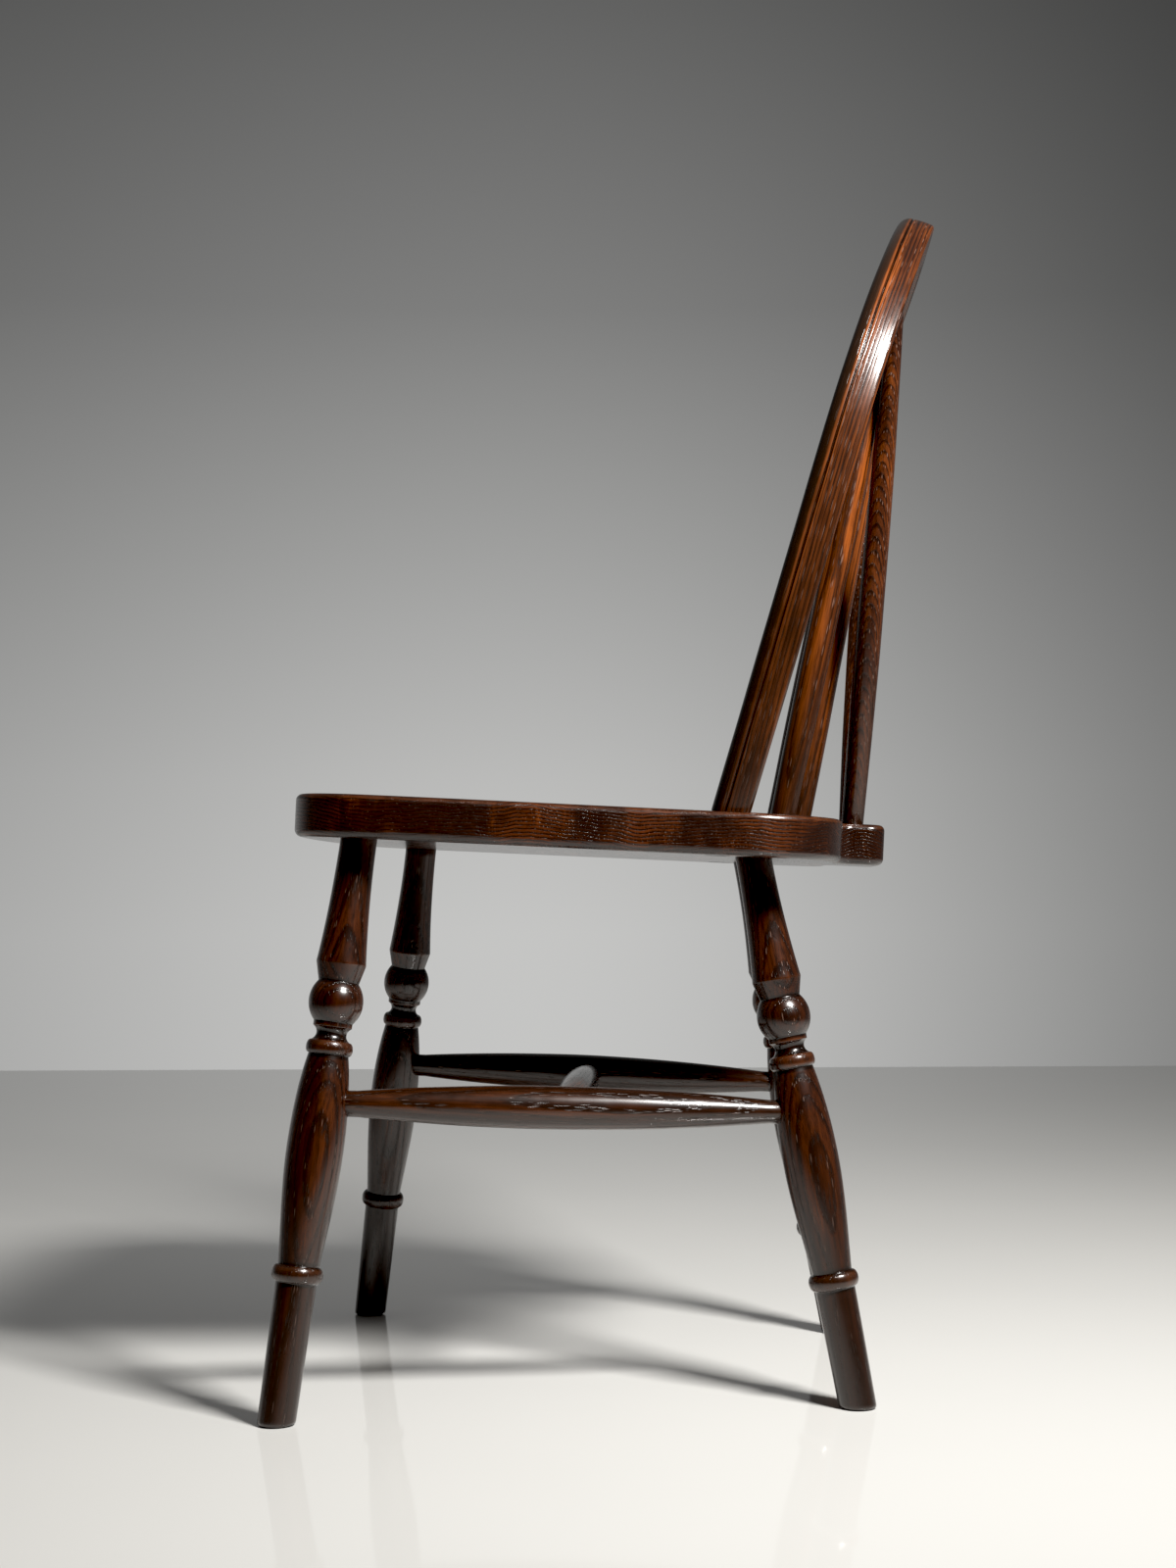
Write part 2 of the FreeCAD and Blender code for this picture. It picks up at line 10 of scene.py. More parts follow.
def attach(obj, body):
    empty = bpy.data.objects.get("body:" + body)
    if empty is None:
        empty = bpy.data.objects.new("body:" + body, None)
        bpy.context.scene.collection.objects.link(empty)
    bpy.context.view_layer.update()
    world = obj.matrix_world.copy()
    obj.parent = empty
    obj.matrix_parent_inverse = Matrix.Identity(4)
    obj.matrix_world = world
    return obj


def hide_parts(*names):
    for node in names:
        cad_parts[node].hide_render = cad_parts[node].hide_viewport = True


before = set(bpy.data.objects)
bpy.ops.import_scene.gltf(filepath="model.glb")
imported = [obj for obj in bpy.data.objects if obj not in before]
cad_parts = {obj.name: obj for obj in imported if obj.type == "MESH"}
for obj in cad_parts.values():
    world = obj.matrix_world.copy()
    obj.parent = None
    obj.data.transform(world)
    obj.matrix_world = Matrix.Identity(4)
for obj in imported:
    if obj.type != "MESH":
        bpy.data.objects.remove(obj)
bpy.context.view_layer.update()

bl_info = {
    "name": "Hoop-back Windsor chair",
    "version": (1, 0, 0),
    "blender": (4, 5, 0),
    "location": "3D View > Sidebar > Chair",
    "description": "Turned legs and sticks, a bent bow and an oak finish for the chair's frame",
    "category": "Object",
}

# Metres and radians.  +Z is up, +Y points to the back of the chair, +X is its right side as
# seen from the front.  Places on the seat plank are x, s (back from the front edge) and h
# (above its top face).
MM = 0.001

# Seat plank, as the frame has it
SEAT_HEIGHT = 0.444
SEAT_TILT = math.radians(2.9)
SEAT_THICK = 0.031
FRONT_EDGE_Y = -0.235339

# Legs by place: x and s where the axis meets the seat's underside, and how far the foot
# stands out to the side and behind that place
LEG_PLACES = {"front": (0.170, 0.058, 0.044, -0.053), "rear": (0.122, 0.341, 0.022, 0.073)}
LEG_SOCKET = 0.024
TENON_STRAIGHT = 0.005
FOOT_ROUNDING = 0.0025

# Leg turning: distances down the leg from the seat's underside
SHOULDER_AT = 0.090
BALL_TOP_AT = 0.1035
BALL_AT = 0.118
COLLAR_AT = 0.132
COLLAR_THICK = 0.0035
NECK_AT = 0.1393
RING_AT = 0.1456
RING_THICK = 0.0096
VASE_TOP_FLARE = 0.2
VASE_AT = 0.224
LOW_RING_AT = 0.3045
LOW_RING_THICK = 0.012
ANKLE_FLARE = -0.09

# Stretchers: distances down the legs, and depths of their sockets
STRETCHER_ON_LEG = {"front": 0.190, "rear": 0.188}
STRETCHER_SOCKET = 0.022
CROSS_SOCKET = 0.015

# Bow: its centre line on the seat and in its own leaning plane
BOW_X = 0.165
BOW_BACK = 0.3228
BOW_LEAN = math.radians(16.8)
BOW_WIDENING = 0.0297
BOW_SHOULDER_UP = 0.2737
BOW_TOP_SWEEP = 0.008
BOW_RUN_ON = 1.004             # the mesh starts this little below the seat's face
BOW_SIDE_STEPS = 130           # rings of the mesh along each side, and round the top
BOW_TOP_STEPS = 280
BOW_FLAT_STEPS = 7             # points along each flat face of the section
BOW_TENON_RADIUS = 0.010
TENON_RECESS = 0.0003          # the tenon's end shrinks back from its wedge
TENON_START = 0.002            # the round tenon begins this far below the seat's face

# Sticks and braces: x and s of the foot, x of the head, how far forward of the bow's centre
# line the head stands
STICK_PLACES = {
    "stick_inner": (0.029, 0.3748, 0.037, 0.004),
    "stick_outer": (0.086, 0.3612, 0.094, 0.004),
    "brace": (0.022, 0.417, 0.132, 0.0),
}
STICK_SOCKET = 0.020

# Where each rod is fattest, as a share of its length from the foot or the front end
STICK_SWELL_AT = 0.3
BRACE_SWELL_AT = 0.33
STRETCHER_SWELL_AT = 0.5

# Where each piece lay in its tree: from its axis to the pith, across and along X, and how far
# the growth rings lean to the axis
LEG_WOOD = (-0.045, 0.012, 0.03)
STRETCHER_WOOD = (-0.05, 0.02, 0.012)
CROSS_WOOD = (0.05, 0.02, 0.012)
STICK_WOOD = (-0.06, 0.008, 0.018)
BRACE_WOOD = (-0.025, 0.003, -0.13)

# In the bow the rings lie across its depth: how much they slant over its width, how far they
# run out along it, and the size and quickness of their slow wave
BOW_RING_SLANT = 0.14
BOW_RUNOUT = 0.010
BOW_RING_WAVE = 0.0022
BOW_RING_WAVE_RATE = 7.0

# Seeds of the unevenness and figure of each piece, the first of its kind
LEG_SEED = 3.0
BOW_SEED = 5.0
STRETCHER_SEED = 11.0
CROSS_SEED = 13.0
STICK_SEED = 21.0

# Traces of the hand: softness of sharp corners, unevenness of the surface, and drift of a
# turned piece's axis
TURNED_SOFTNESS = 0.0005
BOW_SOFTNESS = 0.0003
SHARP_CORNER = math.radians(14.0)
TURNED_UNEVEN = 0.00012
TURNED_DRIFT = 0.0004
BOW_UNEVEN = 0.008             # share of the section
PROUD_REACH = 0.003            # a profile is compared with its neighbourhood this far off
PROUD_HEIGHT = 0.0011          # and counts as fully proud when it stands out by this much

# How much darker, as (distance, 0 to 1): along a leg from the seat down, and up from the foot of a stick
# or the bow.  At a leg's top, under the seat, it is painted shade where the seat's shadow falls;
# elsewhere it only makes each piece darker towards its lower end.  A stretcher is evenly dark.
LEG_SHADE_AND_DARKENING = ((0.0, 0.3), (0.08, 0.0), (0.2, 0.15), (0.3, 0.6), (0.44, 0.75))
STICK_DARKENING = ((0.02, 0.8), (0.08, 0.5), (0.16, 0.0))
STRETCHER_DARKENING = ((0.0, 0.6), (1.0, 0.6))
CROSS_DARKENING = ((0.0, 0.4), (1.0, 0.4))
BOW_DARKENING = ((0.0, 0.8), (0.14, 0.6), (0.26, 0.3), (0.36, 0.0))
# Painted shade on the bow's bead, which faces away from the key light
BEAD_SHADE = 1.3               # on the bead, all but its strip beside the quirk
BEAD_UNSHADED = 1.2 * MM          # width of that strip, and of the fade beside it

SIDES = (("left", -1.0), ("right", 1.0))

# The photograph's camera, fitted to the feet, turnings and seat corners
CAMERA_AT = (1.80348, 0.08157, 0.36807)
CAMERA_YAW = math.radians(3.3702)
CAMERA_ROLL = math.radians(0.2429)
CAMERA_LENS = 52.732
CAMERA_SHIFT = 0.07203

# The key light stands where the shadows on the photograph's floor meet, and faces past the chair
KEY_AT = Vector((1.04, 0.89, 1.60))
KEY_TARGET = Vector((-1.2, 0.0, 1.45))
KEY_COLOUR = (1.0, 0.985, 0.962)

# Floor: half its side, where the photograph's floor ends, and its faint clouds
FLOOR_REACH = 3.13
FLOOR_CLOUDS = 2.2             # per metre, so that a cloud is about 450 mm wide
FLOOR_CLOUD_SHARE = 0.05

# Background: brightness by height, as (share of the height, grey), and how cool the grey is.
# Its brightness falls to a share at the right and at the left.
BACKDROP_GREYS = ((0.0, 0.56), (0.10, 0.56), (0.25, 0.50), (0.45, 0.37), (0.70, 0.215), (1.0, 0.12))
BACKDROP_BLUE = 0.985
BACKDROP_RIGHT = 0.27
BACKDROP_LEFT = 0.66

# Light from the rest of the room: beside the camera, and elsewhere
ROOM_NEAR = 0.015
ROOM_FAR = 0.08


def linear(colour):
    """An sRGB hex colour as linear red, green, blue and alpha."""
    parts = [int(colour[i:i + 2], 16) / 255.0 for i in (0, 2, 4)]
    return tuple(c / 12.92 if c <= 0.04045 else ((c + 0.055) / 1.055) ** 2.4 for c in parts) + (1.0,)


class LegSizes(bpy.types.PropertyGroup):
    """Diameters of the turned legs"""

    top: FloatProperty(name="Top", description="Tenon in the seat", default=0.0262, unit="LENGTH")
    taper: FloatProperty(
        name="Taper", description="Halfway down to the shoulder", default=0.0288, unit="LENGTH")
    shoulder: FloatProperty(
        name="Shoulder", description="Widest place above the ball", default=0.0356, unit="LENGTH")
    ball_top: FloatProperty(
        name="Ball top", description="Where the ball starts", default=0.0288, unit="LENGTH")
    ball: FloatProperty(name="Ball", description="The ball's middle", default=0.0388, unit="LENGTH")
    collar: FloatProperty(
        name="Collar", description="Thin disc under the ball", default=0.0276, unit="LENGTH")
    neck: FloatProperty(
        name="Neck", description="Hollow between collar and ring", default=0.0216, unit="LENGTH")
    ring: FloatProperty(name="Ring", description="Upper ring", default=0.0332, unit="LENGTH")
    vase_top: FloatProperty(
        name="Vase top", description="Under the upper ring", default=0.0284, unit="LENGTH")
    vase: FloatProperty(
        name="Vase", description="Widest place of the vase", default=0.0404, unit="LENGTH")
    ankle: FloatProperty(
        name="Ankle", description="Above and below the low ring", default=0.0289, unit="LENGTH")
    low_ring: FloatProperty(
        name="Low ring", description="Ring above the foot", default=0.0364, unit="LENGTH")
    foot: FloatProperty(name="Foot", description="At the floor", default=0.0268, unit="LENGTH")


class StretcherSizes(bpy.types.PropertyGroup):
    """Diameters of the H stretcher"""

    front: FloatProperty(
        name="Front end", description="Side stretcher's front tenon", default=0.0186, unit="LENGTH")
    middle: FloatProperty(
        name="Middle", description="Side stretcher's swelling", default=0.031, unit="LENGTH")
    rear: FloatProperty(
        name="Rear end", description="Side stretcher's rear tenon", default=0.0172, unit="LENGTH")
    cross_end: FloatProperty(
        name="Cross end", description="Cross stretcher's tenons", default=0.0165, unit="LENGTH")
    cross: FloatProperty(
        name="Cross middle", description="Cross stretcher's swelling", default=0.028, unit="LENGTH")


class StickSizes(bpy.types.PropertyGroup):
    """Diameters of the back sticks and the braces"""

    foot: FloatProperty(
        name="Stick foot", description="Tenon in the seat", default=0.0186, unit="LENGTH")
    swell: FloatProperty(
        name="Stick swelling", description="Fattest place", default=0.0204, unit="LENGTH")
    head: FloatProperty(
        name="Stick head", description="Tenon in the bow", default=0.0108, unit="LENGTH")
    brace_foot: FloatProperty(
        name="Brace foot", description="Tenon in the bobtail", default=0.0166, unit="LENGTH")
    brace_swell: FloatProperty(
        name="Brace swelling", description="Fattest place", default=0.0194, unit="LENGTH")
    brace_head: FloatProperty(
        name="Brace head", description="Tenon in the bow", default=0.0096, unit="LENGTH")


class BowSizes(bpy.types.PropertyGroup):
    """Section of the bent bow"""

    width: FloatProperty(
        name="Width", description="Seen from the front", default=0.0245, unit="LENGTH")
    end_depth: FloatProperty(
        name="End depth", description="Front to back at the seat", default=0.0274, unit="LENGTH")
    shoulder_depth: FloatProperty(
        name="Shoulder depth", description="Front to back at the shoulder",
        default=0.0282, unit="LENGTH")
    crown_depth: FloatProperty(
        name="Crown depth", description="Front to back at the top", default=0.0261, unit="LENGTH")
    bead: FloatProperty(
        name="Bead", description="Radius of the outer front edge", default=0.009, unit="LENGTH")
    quirk: FloatProperty(
        name="Quirk", description="Depth of the groove beside the bead",
        default=0.0013, unit="LENGTH")
    quirk_width: FloatProperty(
        name="Quirk width", description="Width of that groove", default=0.0017, unit="LENGTH")
    edge: FloatProperty(
        name="Edge", description="Radius of the other three edges", default=0.003, unit="LENGTH")
    crown: FloatProperty(
        name="Crown", description="How far the outer side bulges", default=0.0003, unit="LENGTH")
    taper: FloatProperty(
        name="Taper", description="How much the outer side draws in towards the rear",
        default=0.0006, unit="LENGTH")


class OakLook(bpy.types.PropertyGroup):
    """Stained and varnished oak"""

    deep: FloatVectorProperty(
        name="Deep stain", description="Stain held by the pore rows",
        size=4, subtype="COLOR", default=linear("150b08"))
    stain: FloatVectorProperty(
        name="Stain", description="Ordinary red-brown surface",
        size=4, subtype="COLOR", default=linear("31170d"))
    streak: FloatVectorProperty(
        name="Streak", description="Dense wood that took little stain",
        size=4, subtype="COLOR", default=linear("7c4019"))
    pale_pore: FloatVectorProperty(
        name="Pale pore", description="Old wax and dust in open pores",
        size=4, subtype="COLOR", default=linear("86685a"))
    worn: FloatVectorProperty(
        name="Worn edge", description="Stain rubbed off the edges",
        size=4, subtype="COLOR", default=linear("5c3520"))
    # Grime in the pores, and the colour of the painted shade with dark wax in the hollows
    grime_and_shade: FloatVectorProperty(
        name="Grime", description="Dark wax in the hollows",
        size=4, subtype="COLOR", default=linear("060302"))
    # Colour of the darkening towards the lower ends, and of the painted shade on the bow's bead and at
    # the legs' tops under the seat
    shade_and_darkening: FloatVectorProperty(
        name="Smoke", description="Dull old wax on the lower parts",
        size=4, subtype="COLOR", default=linear("22160f"))
    ring: FloatProperty(
        name="Ring spacing", description="Between growth rings", default=0.003, unit="LENGTH")
    pore: FloatProperty(
        name="Pore width", description="Across one pore", default=0.0008, unit="LENGTH")
    pore_length: FloatProperty(
        name="Pore length", description="Along the grain", default=0.013, unit="LENGTH")
    roughness: FloatProperty(
        name="Roughness", description="Of the rubbed varnish",
        default=0.25, min=0.0, max=1.0, subtype="FACTOR")


class StageLook(bpy.types.PropertyGroup):
    """Floor, background and lights"""

    floor: FloatVectorProperty(
        name="Floor", description="Painted floor",
        size=4, subtype="COLOR", default=linear("eeede9"))
    floor_cloud: FloatVectorProperty(
        name="Floor clouds", description="Faint grey clouds in the paint",
        size=4, subtype="COLOR", default=linear("bcbcbc"))
    key_power: FloatProperty(
        name="Key light", description="Softbox high behind the chair", default=110.0, unit="POWER")
    key_size: FloatProperty(
        name="Key size", description="Side of that softbox", default=0.44, unit="LENGTH")
    black_level: FloatProperty(
        name="Black level", description="Light that still prints as black",
        default=0.0095, subtype="FACTOR")


def seat_point(x, s, h=0.0):
    """A point given by its place on the seat plank."""
    return Vector((x, FRONT_EDGE_Y + s * math.cos(SEAT_TILT) + h * math.sin(SEAT_TILT),
                   SEAT_HEIGHT - s * math.sin(SEAT_TILT) + h * math.cos(SEAT_TILT)))


# Turner's profiles are lists of (distance along the axis, radius)

def straight(a, b, steps=2):
    """Straight stretch between two profile points."""
    return [tuple(np.array(a) + (np.array(b) - np.array(a)) * t) for t in np.linspace(0.0, 1.0, steps)]


def curve(a, b, way_a, way_b, steps):
    """Flowing stretch that leaves a and reaches b along the given vectors."""
    a, b, way_a, way_b = (np.array(v, dtype=float) for v in (a, b, way_a, way_b))
    rows = []
    for t in np.linspace(0.0, 1.0, steps):
        rows.append(tuple(a * (2 * t ** 3 - 3 * t ** 2 + 1) + way_a * (t ** 3 - 2 * t ** 2 + t)
                          + b * (3 * t ** 2 - 2 * t ** 3) + way_b * (t ** 3 - t ** 2)))
    return rows


def arc(a, middle, b, steps):
    """Round stretch through three profile points."""
    (x1, y1), (x2, y2), (x3, y3) = a, middle, b
    d = 2.0 * (x1 * (y2 - y3) + x2 * (y3 - y1) + x3 * (y1 - y2))
    squares = [x * x + y * y for x, y in (a, middle, b)]
    cx = (squares[0] * (y2 - y3) + squares[1] * (y3 - y1) + squares[2] * (y1 - y2)) / d
    cy = (squares[0] * (x3 - x2) + squares[1] * (x1 - x3) + squares[2] * (x2 - x1)) / d
    turns = [math.atan2(y - cy, x - cx) for x, y in (a, middle, b)]
    for i in (1, 2):
        while turns[i] - turns[i - 1] > math.pi:
            turns[i] -= 2.0 * math.pi
        while turns[i] - turns[i - 1] < -math.pi:
            turns[i] += 2.0 * math.pi
    radius = math.hypot(x1 - cx, y1 - cy)
    return [(cx + radius * math.cos(t), cy + radius * math.sin(t))
            for t in np.linspace(turns[0], turns[2], steps)]


def bead(a, crest, b, steps):
    """Half-round ring that leaves the surface square to it and comes back so."""
    middle = ((a[0] + b[0]) / 2.0, crest)
    chord = math.dist(a, middle)
    over = 0.75 * np.array((b[0] - a[0], b[1] - a[1]))
    return curve(a, middle, (0.0, chord), over, steps) + curve(middle, b, over, (0.0, -chord), steps)[1:]


def joined(*stretches):
    """One profile from stretches that share their end points."""
    rows = [tuple(stretches[0][0])]
    for stretch in stretches:
        rows += [tuple(p) for p in stretch if math.dist(p, rows[-1]) > 1e-6]
    return rows


def softened(rows, radius, closed=False):
    """Take the sharpness off a profile's corners."""
    out = []
    count = len(rows)
    for i, point in enumerate(rows):
        if not closed and i in (0, count - 1):
            out.append(point)
            continue
        p, a, b = (np.array(q, dtype=float) for q in (point, rows[i - 1], rows[(i + 1) % count]))
        before, after = p - a, b - p
        cosine = before.dot(after) / (np.linalg.norm(before) * np.linalg.norm(after))
        if cosine > math.cos(SHARP_CORNER):
            out.append(point)
            continue
        start = p - before / np.linalg.norm(before) * min(radius, np.linalg.norm(before) * 0.45)
        end = p + after / np.linalg.norm(after) * min(radius, np.linalg.norm(after) * 0.45)
        for t in (0.0, 0.33, 0.67, 1.0):
            out.append(tuple(start * (1 - t) ** 2 + 2 * p * t * (1 - t) + end * t ** 2))
    return out


def swelled(length, foot, foot_straight, swell, swell_at, head, head_straight):
    """Profile of a rod that is straight at both ends and fattest in between."""
    places = np.array((foot_straight, swell_at * length, length - head_straight))
    radii = np.array((foot, swell, head)) / 2.0
    shape = np.polyfit(places, radii, 2)
    between = [(d, float(np.polyval(shape, d))) for d in np.linspace(places[0], places[2], 150)]
    ends = straight((0.0, radii[0]), between[0]), straight(between[-1], (length, radii[2]))
    return joined(ends[0], between, ends[1])


def leg_profile(sizes, end):
    """Profile of a leg from its tenon's end down to the given distance."""
    top, taper, shoulder = sizes.top / 2.0, sizes.taper / 2.0, sizes.shoulder / 2.0
    ball_top, ball = sizes.ball_top / 2.0, sizes.ball / 2.0
    collar, neck = sizes.collar / 2.0, sizes.neck / 2.0
    ring, vase_top, vase = sizes.ring / 2.0, sizes.vase_top / 2.0, sizes.vase / 2.0
    ankle, low_ring, foot = sizes.ankle / 2.0, sizes.low_ring / 2.0, sizes.foot / 2.0
    collar_end = COLLAR_AT + COLLAR_THICK
    ring_end = RING_AT + RING_THICK
    low_ring_end = LOW_RING_AT + LOW_RING_THICK
    upper, lower = VASE_AT - ring_end, LOW_RING_AT - VASE_AT
    return joined(
        straight((-LEG_SOCKET, top), (TENON_STRAIGHT, top)),
        arc((TENON_STRAIGHT, top), ((TENON_STRAIGHT + SHOULDER_AT) / 2.0, taper),
            (SHOULDER_AT, shoulder), 44),
        straight((SHOULDER_AT, shoulder), (BALL_TOP_AT, ball_top), 10),
        arc((BALL_TOP_AT, ball_top), (BALL_AT, ball), (COLLAR_AT, collar), 36),
        straight((COLLAR_AT, collar), (collar_end, collar), 4),
        arc((collar_end, collar), (NECK_AT, neck), (RING_AT, collar), 16),
        bead((RING_AT, collar), ring, (ring_end, vase_top), 12),
        curve((ring_end, vase_top), (VASE_AT, vase), (upper, VASE_TOP_FLARE * upper), (upper, 0.0), 36),
        curve((VASE_AT, vase), (LOW_RING_AT, ankle), (lower, 0.0), (lower, ANKLE_FLARE * lower), 40),
        bead((LOW_RING_AT, ankle), low_ring, (low_ring_end, ankle), 13),
        straight((low_ring_end, ankle), (end, foot), 60),
    )


def proudness(rows):
    """How far each profile point stands out of (+1) or lies below (-1) its neighbourhood."""
    far, radius = np.array(rows).T
    before, after = (np.interp(far + reach, far, radius) for reach in (-PROUD_REACH, PROUD_REACH))
    around = (before + after) / 2.0
    return np.clip((radius - around) / PROUD_HEIGHT, -1.0, 1.0)


def wobble(turn, along, seed):
    """Slow unevenness of hand work, about -1 to 1, around and along a piece."""
    return (0.5 * np.sin(along * 47.0 + seed * 1.7 + np.sin(turn + seed))
            + 0.3 * np.sin(2.0 * turn + along * 23.0 + seed * 2.3)
            + 0.2 * np.sin(3.0 * turn - along * 91.0 + seed * 3.1))


def tube(name, points, grain, proud, shade_and_darkening, body_node, material):
    """A closed mesh from rings of points, dressed and put in place of its frame node."""
    rings, turns = points.shape[:2]
    rows = points.reshape(-1, 3)
    first, last = points[0].mean(axis=0), points[-1].mean(axis=0)
    verts = np.vstack((rows, first, last))
    faces = []
    for i in range(rings - 1):
        for k in range(turns):
            n = (k + 1) % turns
            faces.append((i * turns + k, i * turns + n, (i + 1) * turns + n, (i + 1) * turns + k))
    tail = (rings - 1) * turns
    for k in range(turns):
        n = (k + 1) % turns
        faces.append((rings * turns, n, k))
        faces.append((rings * turns + 1, tail + k, tail + n))
    mesh = bpy.data.meshes.new(name)
    mesh.from_pydata(verts.tolist(), [], faces)
    mesh.shade_smooth()
    grain = grain.reshape(-1, 3)
    grain = np.vstack((grain, grain[:turns].mean(axis=0), grain[-turns:].mean(axis=0)))
    layer = mesh.attributes.new("grain", "FLOAT_VECTOR", "POINT")
    layer.data.foreach_set("vector", grain.astype(np.float32).ravel())
    for layer_name, values in (("proud", proud), ("shade_and_darkening", shade_and_darkening)):
        values = np.append(values.ravel(), (0.0, 0.0))
        layer = mesh.attributes.new(layer_name, "FLOAT", "POINT")
        layer.data.foreach_set("value", values.astype(np.float32))
    mesh.materials.append(material)
    piece = bpy.data.objects.new(name, mesh)
    bpy.context.scene.collection.objects.link(piece)
    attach(piece, "root")
    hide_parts(body_node)
    return piece


def turned(node, start, end, rows, material, seed, wood, shade_and_darkening, turns=64, to_floor=None):
    """A piece turned on the lathe along start-end.

    Wood gives the place of the pith and the runout.  Growth rings are cylinders about the
    pith.  Shade_and_darkening gives how much darker the surface is made, which at the legs' tops under
    the seat is painted shade.  Where to_floor is given, the profile's last stretch, from that distance
    on, is cut level at the floor.
    """
    along = (end - start).normalized()
    side = Vector((1.0, 0.0, 0.0))
    if abs(along.x) > 0.7:
        side = Vector((0.0, 0.0, 1.0))
    side = (side - along * side.dot(along)).normalized()
    other = along.cross(side)
    rows = softened(rows, TURNED_SOFTNESS)
    proud = np.repeat(proudness(rows)[:, None], turns, axis=1)
    rows = np.array(rows)
    turn = np.linspace(0.0, 2.0 * math.pi, turns, endpoint=False)
    far = np.repeat(rows[:, 0:1], turns, axis=1)
    radius = np.repeat(rows[:, 1:2], turns, axis=1)
    turn = np.repeat(turn[None, :], len(rows), axis=0)
    if to_floor is not None:
        far, radius = cut_at_floor(far, radius, turn, start, along, side, other, to_floor)
    radius = radius + TURNED_UNEVEN * wobble(turn, far, seed)
    a, b = radius * np.cos(turn), radius * np.sin(turn)
    drift = TURNED_DRIFT * np.sin(far * 9.0 + seed)
    points = (np.array(start) + far[..., None] * np.array(along)
              + (a + drift)[..., None] * np.array(side) + b[..., None] * np.array(other))
    if to_floor is not None:
        points[..., 2] = np.maximum(points[..., 2], 0.0)
    pith_a, pith_b, runout = wood
    across = np.hypot(a - pith_a, b - pith_b) + runout * far
    around = np.arctan2(b - pith_b, a - pith_a) * math.hypot(pith_a, pith_b)
    # Each piece is cut from another place in the wood
    grain = np.stack((across, around, far + seed * 0.31), axis=-1) / MM
    grain[..., 0] += seed * 41.0
    shade_and_darkening = np.interp(far, *zip(*shade_and_darkening))
    return tube("turned_" + node, points, grain, proud, shade_and_darkening, node, material)


def cut_at_floor(far, radius, turn, start, along, side, other, last_straight):
    """Slide the rows of a leg's last straight stretch so that they end level on the floor."""
    tip = radius[-1]
    slant = np.cos(turn[-1]) * side.z + np.sin(turn[-1]) * other.z
    height = start.z + far[-1] * along.z + tip * slant
    end = far[-1] - height / along.z
    moving = far[:, 0] >= last_straight
    share = (far[moving] - last_straight) / (far[-1] - last_straight)
    far, radius = far.copy(), radius.copy()
    far[moving] = last_straight + share * (end - last_straight)[None, :]
    to_end = np.clip((end[None, :] - far) / FOOT_ROUNDING, 0.0, 1.0)
    radius -= FOOT_ROUNDING * (1.0 - np.sqrt(1.0 - (1.0 - to_end) ** 2))
    return far, radius


class BowLine:
    """Centre line of the bow, measured in its own leaning plane from the seat's top face."""

    def __init__(self):
        self.foot = seat_point(0.0, BOW_BACK)
        self.up = Vector((0.0, math.sin(BOW_LEAN), math.cos(BOW_LEAN)))
        self.rear = Vector((0.0, math.cos(BOW_LEAN), -math.sin(BOW_LEAN)))
        self.radius = BOW_X + BOW_WIDENING
        self.side_radius = (BOW_WIDENING ** 2 + BOW_SHOULDER_UP ** 2) / (2.0 * BOW_WIDENING)
        self.side_angle = math.asin(BOW_SHOULDER_UP / self.side_radius)

    def point(self, x, up):
        """A point of the centre line; above the shoulder it is swept back."""
        rise = max(0.0, up - BOW_SHOULDER_UP) / self.radius
        return self.foot + Vector((x, 0.0, 0.0)) + self.up * up + self.rear * (BOW_TOP_SWEEP * rise ** 2)

    def side(self, share):
        """On the right side arc, from just below the seat's face (0) to the shoulder (1)."""
        angle = self.side_angle * BOW_RUN_ON * (1.0 - share)
        x = self.radius - self.side_radius * (1.0 - math.cos(angle))
        return self.point(x, BOW_SHOULDER_UP - self.side_radius * math.sin(angle))

    def top(self, angle):
        """On the round top, at an angle up from the right shoulder."""
        return self.point(self.radius * math.cos(angle), BOW_SHOULDER_UP + self.radius * math.sin(angle))

    def head(self, x, forward):
        """The point of the round top at a distance x from the middle, set forward of its centre."""
        return self.top(math.acos(x / self.radius)) - self.rear * forward

    def end_direction(self, side):
        """Unit vector down along the bow's end."""
        inward = Vector((-side * math.sin(self.side_angle), 0.0, 0.0))
        return inward - self.up * math.cos(self.side_angle)

    def stations(self):
        """Closely spaced points from the right end round to the left."""
        side = [self.side(i / BOW_SIDE_STEPS) for i in range(BOW_SIDE_STEPS)]
        top = [self.top(math.pi * i / BOW_TOP_STEPS) for i in range(BOW_TOP_STEPS + 1)]
        return side + top + [Vector((-p.x, p.y, p.z)) for p in reversed(side)]


def bow_section(sizes, depth):
    """Outline of the bow's section as (outward, rearward) points."""
    half, deep = sizes.width / 2.0, depth / 2.0
    r, bead_radius = sizes.edge, sizes.bead
    bead_end = bead_radius - deep
    quirk_end = bead_end + sizes.quirk_width
    face = deep - r - quirk_end

    def corner(n, b, radius, start, steps):
        turns = [math.radians(start + 90.0 * i / steps) for i in range(steps + 1)]
        return [(n + radius * math.cos(t), b + radius * math.sin(t)) for t in turns]

    def flat(a, b):
        return straight(a, b, BOW_FLAT_STEPS)[1:-1]

    outer_face = [(half + sizes.crown * 4.0 * t * (1.0 - t) - sizes.taper * t, quirk_end + t * face)
                  for t in np.linspace(0.0, 1.0, 11)]
    outline = (
        corner(half - bead_radius, bead_end, bead_radius, -90.0, 12)
        + [(half - sizes.quirk, bead_end + sizes.quirk_width / 2.0)]
        + outer_face[:-1]
        + corner(half - sizes.taper - r, deep - r, r, 0.0, 6)
        + flat((half - r, deep), (r - half, deep))
        + corner(r - half, deep - r, r, 90.0, 6)
        + flat((-half, deep - r), (-half, r - deep))
        + corner(r - half, r - deep, r, 180.0, 6)
        + flat((r - half, -deep), (half - bead_radius, -deep))
    )
    return softened(outline, BOW_SOFTNESS, closed=True)


